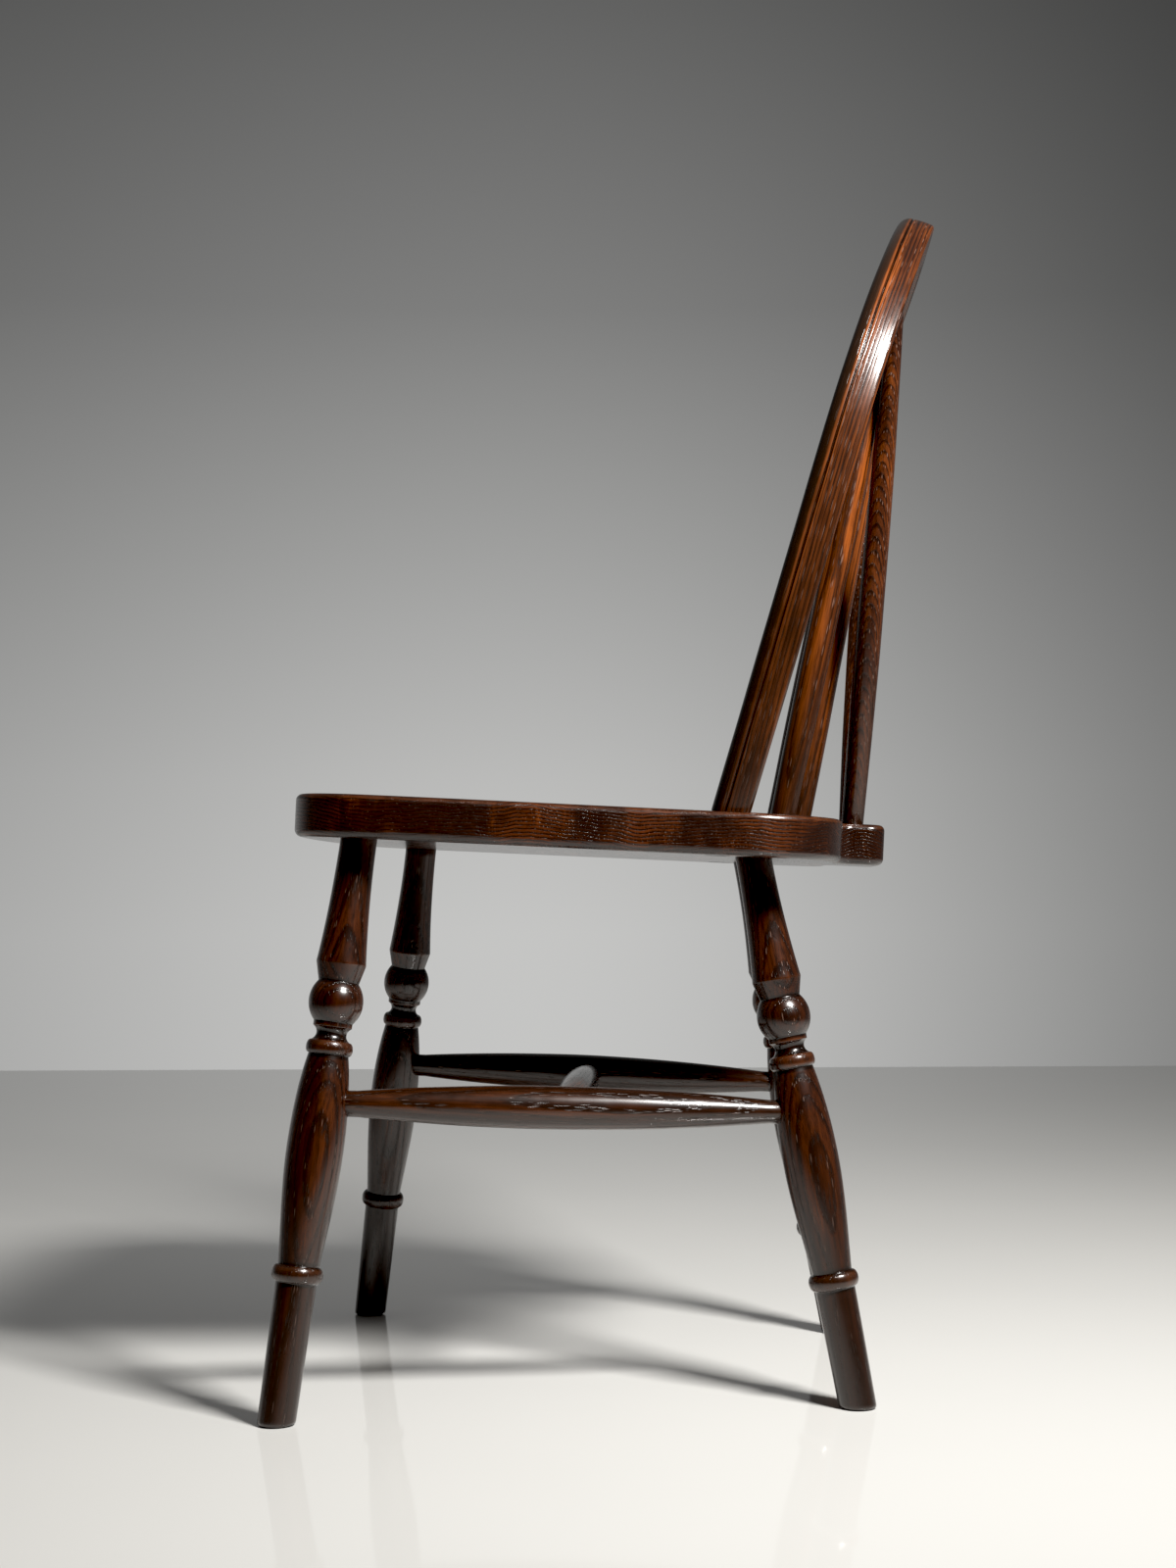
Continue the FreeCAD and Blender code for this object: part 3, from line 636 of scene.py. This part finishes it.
def section_proud(outline, sizes):
    """Rubbed corners (+1) and the quirk (-1), darkened with wax and painted shade, of a bow section."""
    points = np.array(outline)
    before, after = points - np.roll(points, 1, axis=0), np.roll(points, -1, axis=0) - points
    bend = np.cross(before, after) / (np.linalg.norm(before, axis=1) * np.linalg.norm(after, axis=1))
    proud = np.clip(bend * 4.0, 0.0, 1.0)
    deepest = points[:, 1].min() + sizes.bead + sizes.quirk_width / 2.0
    in_quirk = (np.abs(points[:, 1] - deepest) < sizes.quirk_width * 0.6) & (points[:, 0] > 0.0)
    proud[in_quirk] = -1.0
    return proud


def bow_depth(sizes, line, up):
    """Fore-and-aft size of the bow at a distance up its plane."""
    if up < BOW_SHOULDER_UP:
        share = max(0.0, up / BOW_SHOULDER_UP)
        return sizes.end_depth + (sizes.shoulder_depth - sizes.end_depth) * share
    share = (up - BOW_SHOULDER_UP) / line.radius
    return sizes.shoulder_depth + (sizes.crown_depth - sizes.shoulder_depth) * share ** 2


# Settings that many shader nodes share
TIMES = {"operation": "MULTIPLY"}
TIMES_PLUS = {"operation": "MULTIPLY_ADD"}
SMOOTH = {"interpolation_type": "SMOOTHSTEP"}


def add(tree, kind, *plugs, out=0, stops=(), **settings):
    """Add a shader node with its settings and links, and return one of its outputs.

    Plugs are values or sockets for the inputs in order.  A dictionary among them fills
    inputs by name or number.
    """
    node = tree.nodes.new("ShaderNode" + kind)
    for name, value in settings.items():
        setattr(node, name, value)
    for i, plug in enumerate(plugs):
        for key, value in (plug if isinstance(plug, dict) else {i: plug}).items():
            if isinstance(value, bpy.types.NodeSocket):
                tree.links.new(value, node.inputs[key])
            else:
                node.inputs[key].default_value = value
    if stops:
        ramp = node.color_ramp
        while len(ramp.elements) < len(stops):
            ramp.elements.new(1.0)
        for element, (place, colour) in zip(ramp.elements, stops):
            element.position, element.color = place, colour
    return node.outputs[out] if node.outputs else None


def empty_material(name):
    """A new material with an empty node tree."""
    material = bpy.data.materials.new(name)
    material.use_nodes = True
    material.node_tree.nodes.clear()
    return material, material.node_tree


# Figure of the oak: sizes in millimetres, across the rings, around the piece and along the grain
SLOW_BENDS = (45.0, 45.0, 260.0)
QUICK_BENDS = (5.0, 5.0, 34.0)
RAY_FLECKS = (26.0, 1.1, 8.0)
SHADED_AREAS = (60.0, 34.0, 150.0)
HANDLED_PATCHES = (14.0, 14.0, 14.0)
SLOW_BEND_REACH = 10.0         # how far the slow bends move the rings
QUICK_BEND_REACH = 0.4         # the quick ones, in ring widths
BROAD_SHARE = 0.65             # of the broad streaks against the narrow ones
STREAK_EDGE = 0.14             # softness of the streaks
PORE_MIX = 0.04                # softness of the choice between dark and pale pores
DARK_PORE = 0.85               # how fully the pores are filled with grime, and with old dust
PALE_PORE = 0.42
# how strongly the hollows are darkened: dark wax, and painted shade
HOLLOW_WAX_AND_SHADE = 0.75

# What differs between turned or bent pieces and the plank.  On the plank's ends the fibres lie
# in the rings.  Shade, rows and rubbed say how strongly dark areas, pore rows and worn edges
# show, and pore_depth how far the pores break the gloss.
TURNED_FIGURE = {
    "fibre": (1.1, 1.1, 30.0), "broad": (9.0, 9.0, 240.0), "narrow": (2.2, 2.6, 110.0),
    "shade": 0.5, "rows": 0.8, "rubbed": 0.6, "pore_depth": 0.8,
}
PLANK_FIGURE = {
    "fibre": (0.9, 12.0, 22.0), "broad": (30.0, 6.0, 120.0), "narrow": (2.2, 9.0, 90.0),
    "shade": 0.7, "rows": 0.9, "rubbed": 0.4, "pore_depth": 0.35,
}

# The plank's rings are nearly flat.  They wave over about 625 mm across the seat and 91 mm back
# (given as waves per millimetre), by up to 34 mm, and rise to a small arch in the bobtail.
PLANK_WAVES = (0.0016, 0.011, 0.0)
PLANK_WAVE_HEIGHT = 34.0
BOBTAIL_FROM, BOBTAIL_TO = 392.0, 408.0
BOBTAIL_ARCH_AT = 426.0
BOBTAIL_ARCH = 0.028


def plank_grain(tree):
    """Across, around and along the grain in millimetres for the seat plank, and its edges."""
    put = partial(add, tree)
    place = put("TexCoord", out="Object")
    place = put("VectorMath", place, (0.0, FRONT_EDGE_Y, SEAT_HEIGHT), operation="SUBTRACT")
    place = put("VectorRotate", {"Vector": place, "Angle": SEAT_TILT}, rotation_type="X_AXIS")
    place = put("VectorMath", {0: place, "Scale": 1.0 / MM}, operation="SCALE")
    x, s, h = (put("SeparateXYZ", place, out=i) for i in range(3))
    waves = put("TexNoise", {"Vector": put("VectorMath", place, PLANK_WAVES, **TIMES),
                             "Scale": 1.0, "Detail": 2.0, "Roughness": 0.4})
    across = put("Math", waves, PLANK_WAVE_HEIGHT, h, **TIMES_PLUS)
    tail = put("MapRange", s, BOBTAIL_FROM, BOBTAIL_TO, 0.0, BOBTAIL_ARCH, **SMOOTH)
    arch = put("Math", put("Math", s, BOBTAIL_ARCH_AT, operation="SUBTRACT"), 2.0, operation="POWER")
    across = put("Math", arch, tail, across, **TIMES_PLUS)
    grain = put("CombineXYZ", across, s, x)
    # Edges are where the surface turns from the plank's rim to its top
    upright = (0.0, math.sin(SEAT_TILT), math.cos(SEAT_TILT))
    normal = put("NewGeometry", out="Normal")
    facing = put("VectorMath", normal, upright, out="Value", operation="DOT_PRODUCT")
    rising = put("MapRange", facing, 0.15, 0.55, **SMOOTH)
    level = put("MapRange", facing, 0.80, 0.97, 1.0, 0.0, **SMOOTH)
    return grain, put("Math", rising, level, **TIMES)


def varnished_oak(name, look, plank=False, streaks=0.62, warmth=1.0, rays=0.0, rings=1.0,
                  dark_pores=0.66):
    """Fumed and stained oak, planed, turned or bent, under rubbed varnish.

    Rings show as rows of pores that hold stain, wax and dust, with denser orange wood
    between them, and rays as orange flecks.  The varnish gives a sharp gloss that the open
    pores break up.

    Streaks is how rare orange streaks are, and warmth how orange they get.  Rays is how much
    the flecks show, rings how wide the rings are against the usual ones, and dark_pores the
    share of pores that are filled with dark dirt.  The others are pale with old dust.
    """
    material, tree = empty_material(name)
    put = partial(add, tree)
    if plank:
        figure = PLANK_FIGURE
        grain, proud = plank_grain(tree)
    else:
        figure = TURNED_FIGURE
        grain = put("Attribute", out="Vector", attribute_name="grain")
        proud = put("Attribute", out="Fac", attribute_name="proud")

    def cloudy(place, size, detail=2.0, roughness=0.5):
        """Soft patches of the given size in millimetres, across, around and along the grain."""
        cells = put("VectorMath", place, tuple(1.0 / v for v in size), **TIMES)
        return put("TexNoise", {"Vector": cells, "Scale": 1.0, "Detail": detail, "Roughness": roughness})

    # Growth rings, bent by slow and quick waves.  Early is the porous part of each ring.  Real
    # rings are about 1.8 mm apart, and are drawn wider, so that they show.
    ring = rings * look.ring / MM
    across, around, along = (put("SeparateXYZ", grain, out=i) for i in range(3))
    across = put("Math", cloudy(grain, SLOW_BENDS), SLOW_BEND_REACH, across, **TIMES_PLUS)
    across = put("Math", cloudy(grain, QUICK_BENDS), QUICK_BEND_REACH * ring, across, **TIMES_PLUS)
    phase = put("Math", put("Math", across, ring, operation="DIVIDE"), operation="FRACT")
    early = put("Math", put("MapRange", phase, 0.0, 0.15, **SMOOTH),
                put("MapRange", phase, 0.15, 0.6, 1.0, 0.0, **SMOOTH), **TIMES)

    # Everything finer follows the bent rings
    grain = put("CombineXYZ", across, around, along)

    # Pores: real ones are 0.3 mm wide, too fine to show, so they are drawn about 0.8 mm wide
    cells = put("VectorMath", grain, (MM / look.pore, MM / look.pore, MM / look.pore_length), **TIMES)
    near = put("TexVoronoi", {"Vector": cells, "Scale": 1.0}, out="Distance")
    chance = put("SeparateColor", put("TexVoronoi", {"Vector": cells, "Scale": 1.0}, out="Color"))
    pore = put("Math", put("MapRange", near, 0.20, 0.42, 1.0, 0.0, **SMOOTH),
               put("MapRange", early, 0.1, 0.5, **SMOOTH), **TIMES)
    low, high = dark_pores - PORE_MIX, dark_pores + PORE_MIX
    pale = put("Math", pore, put("MapRange", chance, low, high, 0.0, PALE_PORE, **SMOOTH), **TIMES)
    black = put("Math", pore, put("MapRange", chance, high, low, 0.0, DARK_PORE, **SMOOTH), **TIMES)

    # Stain: fine fibres, streaks along the grain, dark areas, and ray flecks
    fibre = cloudy(grain, figure["fibre"], 3.0, 0.65)
    bands = put("Math", cloudy(grain, figure["broad"]), BROAD_SHARE, **TIMES)
    bands = put("Math", cloudy(grain, figure["narrow"]), 1.0 - BROAD_SHARE, bands, **TIMES_PLUS)
    bands = put("MapRange", bands, streaks - STREAK_EDGE, streaks + STREAK_EDGE, **SMOOTH)
    shade = put("MapRange", cloudy(grain, SHADED_AREAS), 0.38, 0.62, 0.0, figure["shade"], **SMOOTH)
    late = put("Math", put("MapRange", early, 0.6, 0.0, **SMOOTH),
               put("MapRange", shade, 0.5, 0.0, 0.1, 0.3, **SMOOTH), **TIMES)
    lit = put("Math", put("Math", bands, late, operation="MAXIMUM"),
              put("MapRange", fibre, 0.3, 0.65, 0.3 * warmth, warmth, **SMOOTH), **TIMES)
    flecks = put("MapRange", cloudy(grain, RAY_FLECKS, 1.5), 0.58, 0.70, 0.0, rays, **SMOOTH)

    # Handling: stain rubbed off the edges.  The hollows get dark wax and painted shade.
    patch = cloudy(grain, HANDLED_PATCHES, 3.0)
    rubbed = put("Math", put("MapRange", proud, 0.1, 0.9, **SMOOTH),
                 put("MapRange", patch, 0.35, 0.65, 0.1, figure["rubbed"], **SMOOTH), **TIMES)
    hollow_wax_and_shade = put("MapRange", proud, -0.1, -0.8, 0.0, HOLLOW_WAX_AND_SHADE, **SMOOTH)

    # The layers of colour, from the wood up
    layers = [
        (put("MapRange", fibre, 0.25, 0.6, **SMOOTH), look.stain),
        (lit, look.streak),
        (flecks, look.streak),
        (shade, look.deep),
        (put("Math", early, figure["rows"], **TIMES), look.deep),
        (black, look.grime_and_shade),
        (pale, look.pale_pore),
        (rubbed, look.worn),
        # painted shade and dark wax in the hollows
        (hollow_wax_and_shade, look.grime_and_shade),
    ]
    if not plank:
        # Darker towards the lower ends, and painted shade on the bow's bead and at the legs' tops under
        # the seat
        shade_and_darkening = put("Attribute", out="Fac", attribute_name="shade_and_darkening")
        uneven = put("MapRange", patch, 0.2, 0.8, 1.0, 0.7, **SMOOTH)
        layers.append((put("Math", shade_and_darkening, uneven, **TIMES), look.shade_and_darkening))
    colour = tuple(look.deep)
    for share, paint in layers:
        colour = put("Mix", {0: share, 6: colour, 7: tuple(paint)}, out=2, data_type="RGBA")

    # The varnish is duller in patches and in the pores, and sinks into pores and rings
    spread = 0.12
    roughness = put("Math", patch, spread, look.roughness - spread / 2.0, **TIMES_PLUS)
    roughness = put("Math", pore, spread, roughness, **TIMES_PLUS)
    height = put("Math", pore, -figure["pore_depth"], put("Math", fibre, 0.12, **TIMES), **TIMES_PLUS)
    height = put("Math", early, -0.4, height, **TIMES_PLUS)
    bump = put("Bump", {"Height": height, "Strength": 0.5, "Distance": 0.0003})
    shader = put("BsdfPrincipled", {
        "Base Color": colour, "Roughness": roughness, "Normal": bump, "IOR": 1.5,
        "Coat Weight": 0.4, "Coat Roughness": 0.1, "Coat IOR": 1.5,
    })
    put("OutputMaterial", {"Surface": shader})
    return material


class CHAIR_OT_seat(bpy.types.Operator):
    """Give the seat plank and the bow's wedges their oak"""

    bl_idname = "chair.seat"
    bl_label = "Finish the seat"

    def execute(self, context):
        look = context.scene.chair_oak
        # Rings run level along the rim and spread into broad patches on top.  Pores are dark.
        oak = varnished_oak("oak_plank_stained_varnished", look, plank=True, streaks=0.66,
                            warmth=0.75, rays=0.14, rings=0.85, dark_pores=0.9)
        for node in ("seat", "bow_wedge_left", "bow_wedge_right"):
            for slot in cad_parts[node].material_slots:
                slot.material = oak
        return {"FINISHED"}


class CHAIR_OT_legs(bpy.types.Operator):
    """Turn the four legs"""

    bl_idname = "chair.legs"
    bl_label = "Turn the legs"

    def execute(self, context):
        sizes = context.scene.chair_legs
        # A dull, dark wood: the orange is muted, and few pores are pale with dust
        oak = varnished_oak("oak_legs_turned_varnished", context.scene.chair_oak, streaks=0.55,
                            warmth=0.45, dark_pores=0.78)
        seed = LEG_SEED
        for place in LEG_PLACES:
            for name, side in SIDES:
                top, foot = leg_axis(place, side)
                # The profile runs on past the floor, where turned cuts it
                rows = leg_profile(sizes, (foot - top).length + sizes.foot)
                turned("leg_%s_%s" % (place, name), top, foot, rows, oak, seed, LEG_WOOD, LEG_SHADE_AND_DARKENING,
                       turns=72, to_floor=LOW_RING_AT + LOW_RING_THICK)
                seed += 1.0
        return {"FINISHED"}


def leg_axis(place, side):
    """Where a leg's axis meets the seat's underside, and the floor."""
    x, s, out, behind = LEG_PLACES[place]
    top = seat_point(side * x, s, -SEAT_THICK)
    return top, Vector((top.x + side * out, top.y + behind, 0.0))


def on_leg(place, side):
    """The point of a leg's axis where its side stretcher points."""
    top, foot = leg_axis(place, side)
    return top + (foot - top).normalized() * STRETCHER_ON_LEG[place]


class CHAIR_OT_stretchers(bpy.types.Operator):
    """Turn the two side stretchers and the cross stretcher"""

    bl_idname = "chair.stretchers"
    bl_label = "Turn the stretchers"

    def execute(self, context):
        sizes, legs = context.scene.chair_stretchers, context.scene.chair_legs
        # As dull as the legs, with more dusty pores
        oak = varnished_oak("oak_stretchers_turned_varnished", context.scene.chair_oak,
                            streaks=0.52, warmth=0.5)
        inset = legs.vase / 2.0 - STRETCHER_SOCKET
        straight_end = STRETCHER_SOCKET + TENON_STRAIGHT
        middles = []
        seed = STRETCHER_SEED
        for name, side in SIDES:
            front, rear = on_leg("front", side), on_leg("rear", side)
            along = (rear - front).normalized()
            start, end = front + along * inset, rear - along * inset
            rows = swelled((end - start).length, sizes.front, straight_end, sizes.middle,
                           STRETCHER_SWELL_AT, sizes.rear, straight_end)
            turned("side_stretcher_" + name, start, end, rows, oak, seed, STRETCHER_WOOD,
                   STRETCHER_DARKENING)
            middles.append((front + rear) / 2.0)
            seed += 1.0
        along = (middles[1] - middles[0]).normalized()
        inset = sizes.middle / 2.0 - CROSS_SOCKET
        straight_end = CROSS_SOCKET + TENON_STRAIGHT
        start, end = middles[0] + along * inset, middles[1] - along * inset
        rows = swelled((end - start).length, sizes.cross_end, straight_end, sizes.cross,
                       STRETCHER_SWELL_AT, sizes.cross_end, straight_end)
        turned("cross_stretcher", start, end, rows, oak, CROSS_SEED, CROSS_WOOD, CROSS_DARKENING)
        return {"FINISHED"}


class CHAIR_OT_bow(bpy.types.Operator):
    """Bend the bow and fit its tenons"""

    bl_idname = "chair.bow"
    bl_label = "Bend the bow"

    def execute(self, context):
        sizes = context.scene.chair_bow
        # Long bright orange streaks follow the bend, and half of the pores are pale
        oak = varnished_oak("oak_bow_bent_varnished", context.scene.chair_oak, streaks=0.46,
                            dark_pores=0.5)
        line = BowLine()
        stations = line.stations()
        points, grain, proud, shade_and_darkening = [], [], [], []
        gone = 0.0
        for i, place in enumerate(stations):
            before, after = stations[max(i - 1, 0)], stations[min(i + 1, len(stations) - 1)]
            gone += (place - before).length
            along = (after - before).normalized()
            rear = (line.rear - along * line.rear.dot(along)).normalized()
            outward = rear.cross(along)
            up = (place - line.foot).dot(line.up)
            depth = bow_depth(sizes, line, up)
            outline = bow_section(sizes, depth)
            n, b = np.array(outline).T
            so_far = np.full(len(n), gone)
            uneven = 1.0 + BOW_UNEVEN * wobble(np.arctan2(b, n), so_far, BOW_SEED)
            points.append(np.array(place) + np.outer(n * uneven, outward) + np.outer(b * uneven, rear))
            across = (b + BOW_RING_SLANT * n + BOW_RUNOUT * gone
                      + BOW_RING_WAVE * math.sin(gone * BOW_RING_WAVE_RATE))
            grain.append(np.stack((across, n, so_far), axis=-1) / MM)
            proud.append(section_proud(outline, sizes))
            # Painted shade on the bead's front, which faces away from the key light; the strip beside
            # the quirk stays clear
            bead_end = sizes.bead - depth / 2.0
            bead_shade = np.clip((bead_end - BEAD_UNSHADED - b) / BEAD_UNSHADED, 0.0, BEAD_SHADE) * (n > 0.0)
            shade_and_darkening.append(np.maximum(np.interp(up, *zip(*BOW_DARKENING)), bead_shade))
        turns = len(points[0])
        right, left = ([self.tenon_ring(line, side, turns, share) for share in (1.0, 0.55, 0.0)]
                       for side in (1.0, -1.0))
        points = np.array(right + points + left[::-1])
        grain = np.array([grain[0]] * 3 + grain + [grain[-1]] * 3)
        proud = np.array([proud[0] * 0.0] * 3 + proud + [proud[-1] * 0.0] * 3)
        shade_and_darkening = np.array([shade_and_darkening[0]] * 3 + shade_and_darkening + [shade_and_darkening[-1]] * 3)
        tube("bent_bow", points, grain, proud, shade_and_darkening, "bow", oak)
        return {"FINISHED"}

    @staticmethod
    def tenon_ring(line, side, turns, share):
        """A ring of the round tenon, at a share of its way down to the seat's underside."""
        down = line.end_direction(side)
        start = seat_point(side * BOW_X, BOW_BACK)
        seat = seat_point(0.0, 0.0)
        normal = seat_point(0.0, 0.0, 1.0) - seat
        length = (SEAT_THICK - TENON_RECESS) * share + TENON_START * (1.0 - share)
        rear = (line.rear - down * line.rear.dot(down)).normalized()
        outward = rear.cross(down) * -1.0
        ring = []
        for k in range(turns):
            turn = 2.0 * math.pi * (k + 0.5) / turns - math.pi / 2.0
            place = start + (outward * math.cos(turn) + rear * math.sin(turn)) * BOW_TENON_RADIUS
            drop = (length + (place - seat).dot(normal)) / -down.dot(normal)
            ring.append(place + down * drop)
        return np.array(ring)


class CHAIR_OT_sticks(bpy.types.Operator):
    """Turn the four back sticks and the two braces"""

    bl_idname = "chair.sticks"
    bl_label = "Turn the sticks"

    def execute(self, context):
        sizes, bow = context.scene.chair_sticks, context.scene.chair_bow
        look = context.scene.chair_oak
        # The sticks are the most streaked.  The braces have narrow rings and mostly pale pores.
        stick_oak = varnished_oak("oak_sticks_turned_varnished", look, streaks=0.41)
        brace_oak = varnished_oak("oak_braces_turned_varnished", look, streaks=0.52, warmth=0.6,
                                  rings=0.45, dark_pores=0.35)
        stick = (sizes.foot, sizes.swell, STICK_SWELL_AT, sizes.head, stick_oak, STICK_WOOD)
        brace = (sizes.brace_foot, sizes.brace_swell, BRACE_SWELL_AT, sizes.brace_head, brace_oak,
                 BRACE_WOOD)
        line = BowLine()
        seed = STICK_SEED
        for kind, (x, s, head_x, forward) in STICK_PLACES.items():
            foot_dia, swell, swell_at, head_dia, oak, wood = brace if kind == "brace" else stick
            for name, side in SIDES:
                foot, head = seat_point(side * x, s), line.head(side * head_x, forward)
                start = foot - (head - foot).normalized() * STICK_SOCKET
                rows = swelled((head - start).length, foot_dia, STICK_SOCKET + TENON_STRAIGHT,
                               swell, swell_at, head_dia, bow.width)
                turned("%s_%s" % (kind, name), start, head, rows, oak, seed, wood, STICK_DARKENING,
                       turns=48)
                seed += 1.0
        return {"FINISHED"}


class CHAIR_OT_stage(bpy.types.Operator):
    """Lay the floor and set the background, the lights and the camera"""

    bl_idname = "chair.stage"
    bl_label = "Set the stage"

    def execute(self, context):
        look = context.scene.chair_stage
        self.floor(look)
        self.background(context.scene)
        self.softbox("key_softbox", KEY_AT, KEY_TARGET, look.key_size, look.key_power, KEY_COLOUR)
        self.camera(context.scene)
        # A print's contrast: deep shadows go fully black
        view = context.scene.view_settings
        view.view_transform = "Standard"
        view.use_curve_mapping = True
        view.curve_mapping.black_level = (look.black_level,) * 3
        view.curve_mapping.update()
        return {"FINISHED"}

    def floor(self, look):
        """A square painted floor that ends where the photograph's does."""
        corners = [(x * FLOOR_REACH, y * FLOOR_REACH, 0.0)
                   for x, y in ((-1, -1), (1, -1), (1, 1), (-1, 1))]
        mesh = bpy.data.meshes.new("floor")
        mesh.from_pydata(corners, [], [(0, 1, 2, 3)])
        # Emulsion paint, sealed: pale and slightly glossy, so that feet mirror faintly
        material, tree = empty_material("paint_floor_sealed")
        put = partial(add, tree)
        place = put("TexCoord", out="Object")
        cloud = put("TexNoise", {"Vector": place, "Scale": FLOOR_CLOUDS, "Detail": 3.0})
        share = put("MapRange", cloud, 0.3, 0.7, 0.0, FLOOR_CLOUD_SHARE)
        paints = {6: tuple(look.floor), 7: tuple(look.floor_cloud)}
        colour = put("Mix", share, paints, out=2, data_type="RGBA")
        shader = put("BsdfPrincipled", {"Base Color": colour, "Roughness": 0.05, "IOR": 1.5})
        put("OutputMaterial", {"Surface": shader})
        mesh.materials.append(material)
        floor = bpy.data.objects.new("floor", mesh)
        floor.rotation_euler.z = CAMERA_YAW
        bpy.context.scene.collection.objects.link(floor)

    def background(self, scene):
        """Grey paper, lighter near the floor and darker to the top and the right."""
        world = bpy.data.worlds.new("studio")
        scene.world = world
        world.use_nodes = True
        world.node_tree.nodes.clear()
        put = partial(add, world.node_tree)
        ray = put("TexCoord", out="Generated")
        x, y, z = (put("SeparateXYZ", ray, out=i) for i in range(3))
        rise = put("MapRange", z, -0.06, 0.38)
        greys = [(place, (grey, grey, grey * BACKDROP_BLUE, 1.0)) for place, grey in BACKDROP_GREYS]
        wall = put("ValToRGB", rise, stops=greys)
        right = put("MapRange", y, -0.09, 0.33, 1.0, BACKDROP_RIGHT, **SMOOTH)
        left = put("MapRange", y, -0.09, -0.42, 1.0, BACKDROP_LEFT, **SMOOTH)
        paper = put("Background", wall, put("Math", right, left, **TIMES))
        # The paper hangs behind the chair only.  The rest of the room is dim, and darkest beside
        # the camera, so that the chair's near side stays deep in colour.
        behind = put("MapRange", x, -0.2, -0.75, **SMOOTH)
        dimness = put("MapRange", x, 0.75, 0.2, ROOM_NEAR, ROOM_FAR, **SMOOTH)
        dim = put("Background", (1.0, 1.0, 1.0, 1.0), dimness)
        room = put("MixShader", behind, dim, paper)
        camera_ray = put("LightPath", out="Is Camera Ray")
        put("OutputWorld", {"Surface": put("MixShader", camera_ray, room, paper)})

    def softbox(self, name, place, target, size, power, colour):
        """A square area light that faces the target."""
        light = bpy.data.lights.new(name, "AREA")
        light.energy, light.size, light.color = power, size, colour
        lamp = bpy.data.objects.new(name, light)
        lamp.location = place
        lamp.rotation_euler = (target - place).to_track_quat("-Z", "Y").to_euler()
        bpy.context.scene.collection.objects.link(lamp)

    def camera(self, scene):
        """The photograph's camera: level, a little rolled, with the horizon below the middle."""
        lens = bpy.data.cameras.new("camera")
        lens.sensor_width = 36.0
        lens.lens = CAMERA_LENS
        lens.shift_y = CAMERA_SHIFT
        view = Vector((-math.cos(CAMERA_YAW), -math.sin(CAMERA_YAW), 0.0))
        level = Vector((-math.sin(CAMERA_YAW), math.cos(CAMERA_YAW), 0.0))
        up = Vector((0.0, 0.0, 1.0))
        right = level * math.cos(CAMERA_ROLL) - up * math.sin(CAMERA_ROLL)
        top = level * math.sin(CAMERA_ROLL) + up * math.cos(CAMERA_ROLL)
        turn = Matrix((right, top, -view)).transposed()
        camera = bpy.data.objects.new("camera", lens)
        camera.matrix_world = Matrix.Translation(CAMERA_AT) @ turn.to_4x4()
        scene.collection.objects.link(camera)
        scene.camera = camera


class VIEW3D_PT_chair(bpy.types.Panel):
    """Sidebar panel with the chair's pieces, sizes and finish"""

    bl_label = "Windsor chair"
    bl_space_type = "VIEW_3D"
    bl_region_type = "UI"
    bl_category = "Chair"

    def draw(self, context):
        for operator in OPERATORS:
            self.layout.operator(operator.bl_idname)
        for pointer in GROUPS:
            box = self.layout.box()
            group = getattr(context.scene, pointer)
            for name in group.__annotations__:
                box.prop(group, name)


OPERATORS = (CHAIR_OT_seat, CHAIR_OT_legs, CHAIR_OT_stretchers, CHAIR_OT_bow, CHAIR_OT_sticks,
             CHAIR_OT_stage)
GROUPS = {
    "chair_legs": LegSizes,
    "chair_stretchers": StretcherSizes,
    "chair_sticks": StickSizes,
    "chair_bow": BowSizes,
    "chair_oak": OakLook,
    "chair_stage": StageLook,
}


def register():
    for group in GROUPS.values():
        bpy.utils.register_class(group)
    for operator in OPERATORS:
        bpy.utils.register_class(operator)
    bpy.utils.register_class(VIEW3D_PT_chair)
    for pointer, group in GROUPS.items():
        setattr(bpy.types.Scene, pointer, PointerProperty(type=group))


def unregister():
    for pointer in GROUPS:
        delattr(bpy.types.Scene, pointer)
    bpy.utils.unregister_class(VIEW3D_PT_chair)
    for operator in reversed(OPERATORS):
        bpy.utils.unregister_class(operator)
    for group in reversed(GROUPS.values()):
        bpy.utils.unregister_class(group)


def main():
    register()
    bpy.ops.chair.seat()
    bpy.ops.chair.legs()
    bpy.ops.chair.stretchers()
    bpy.ops.chair.bow()
    bpy.ops.chair.sticks()
    bpy.ops.chair.stage()


if __name__ == "__main__":
    main()
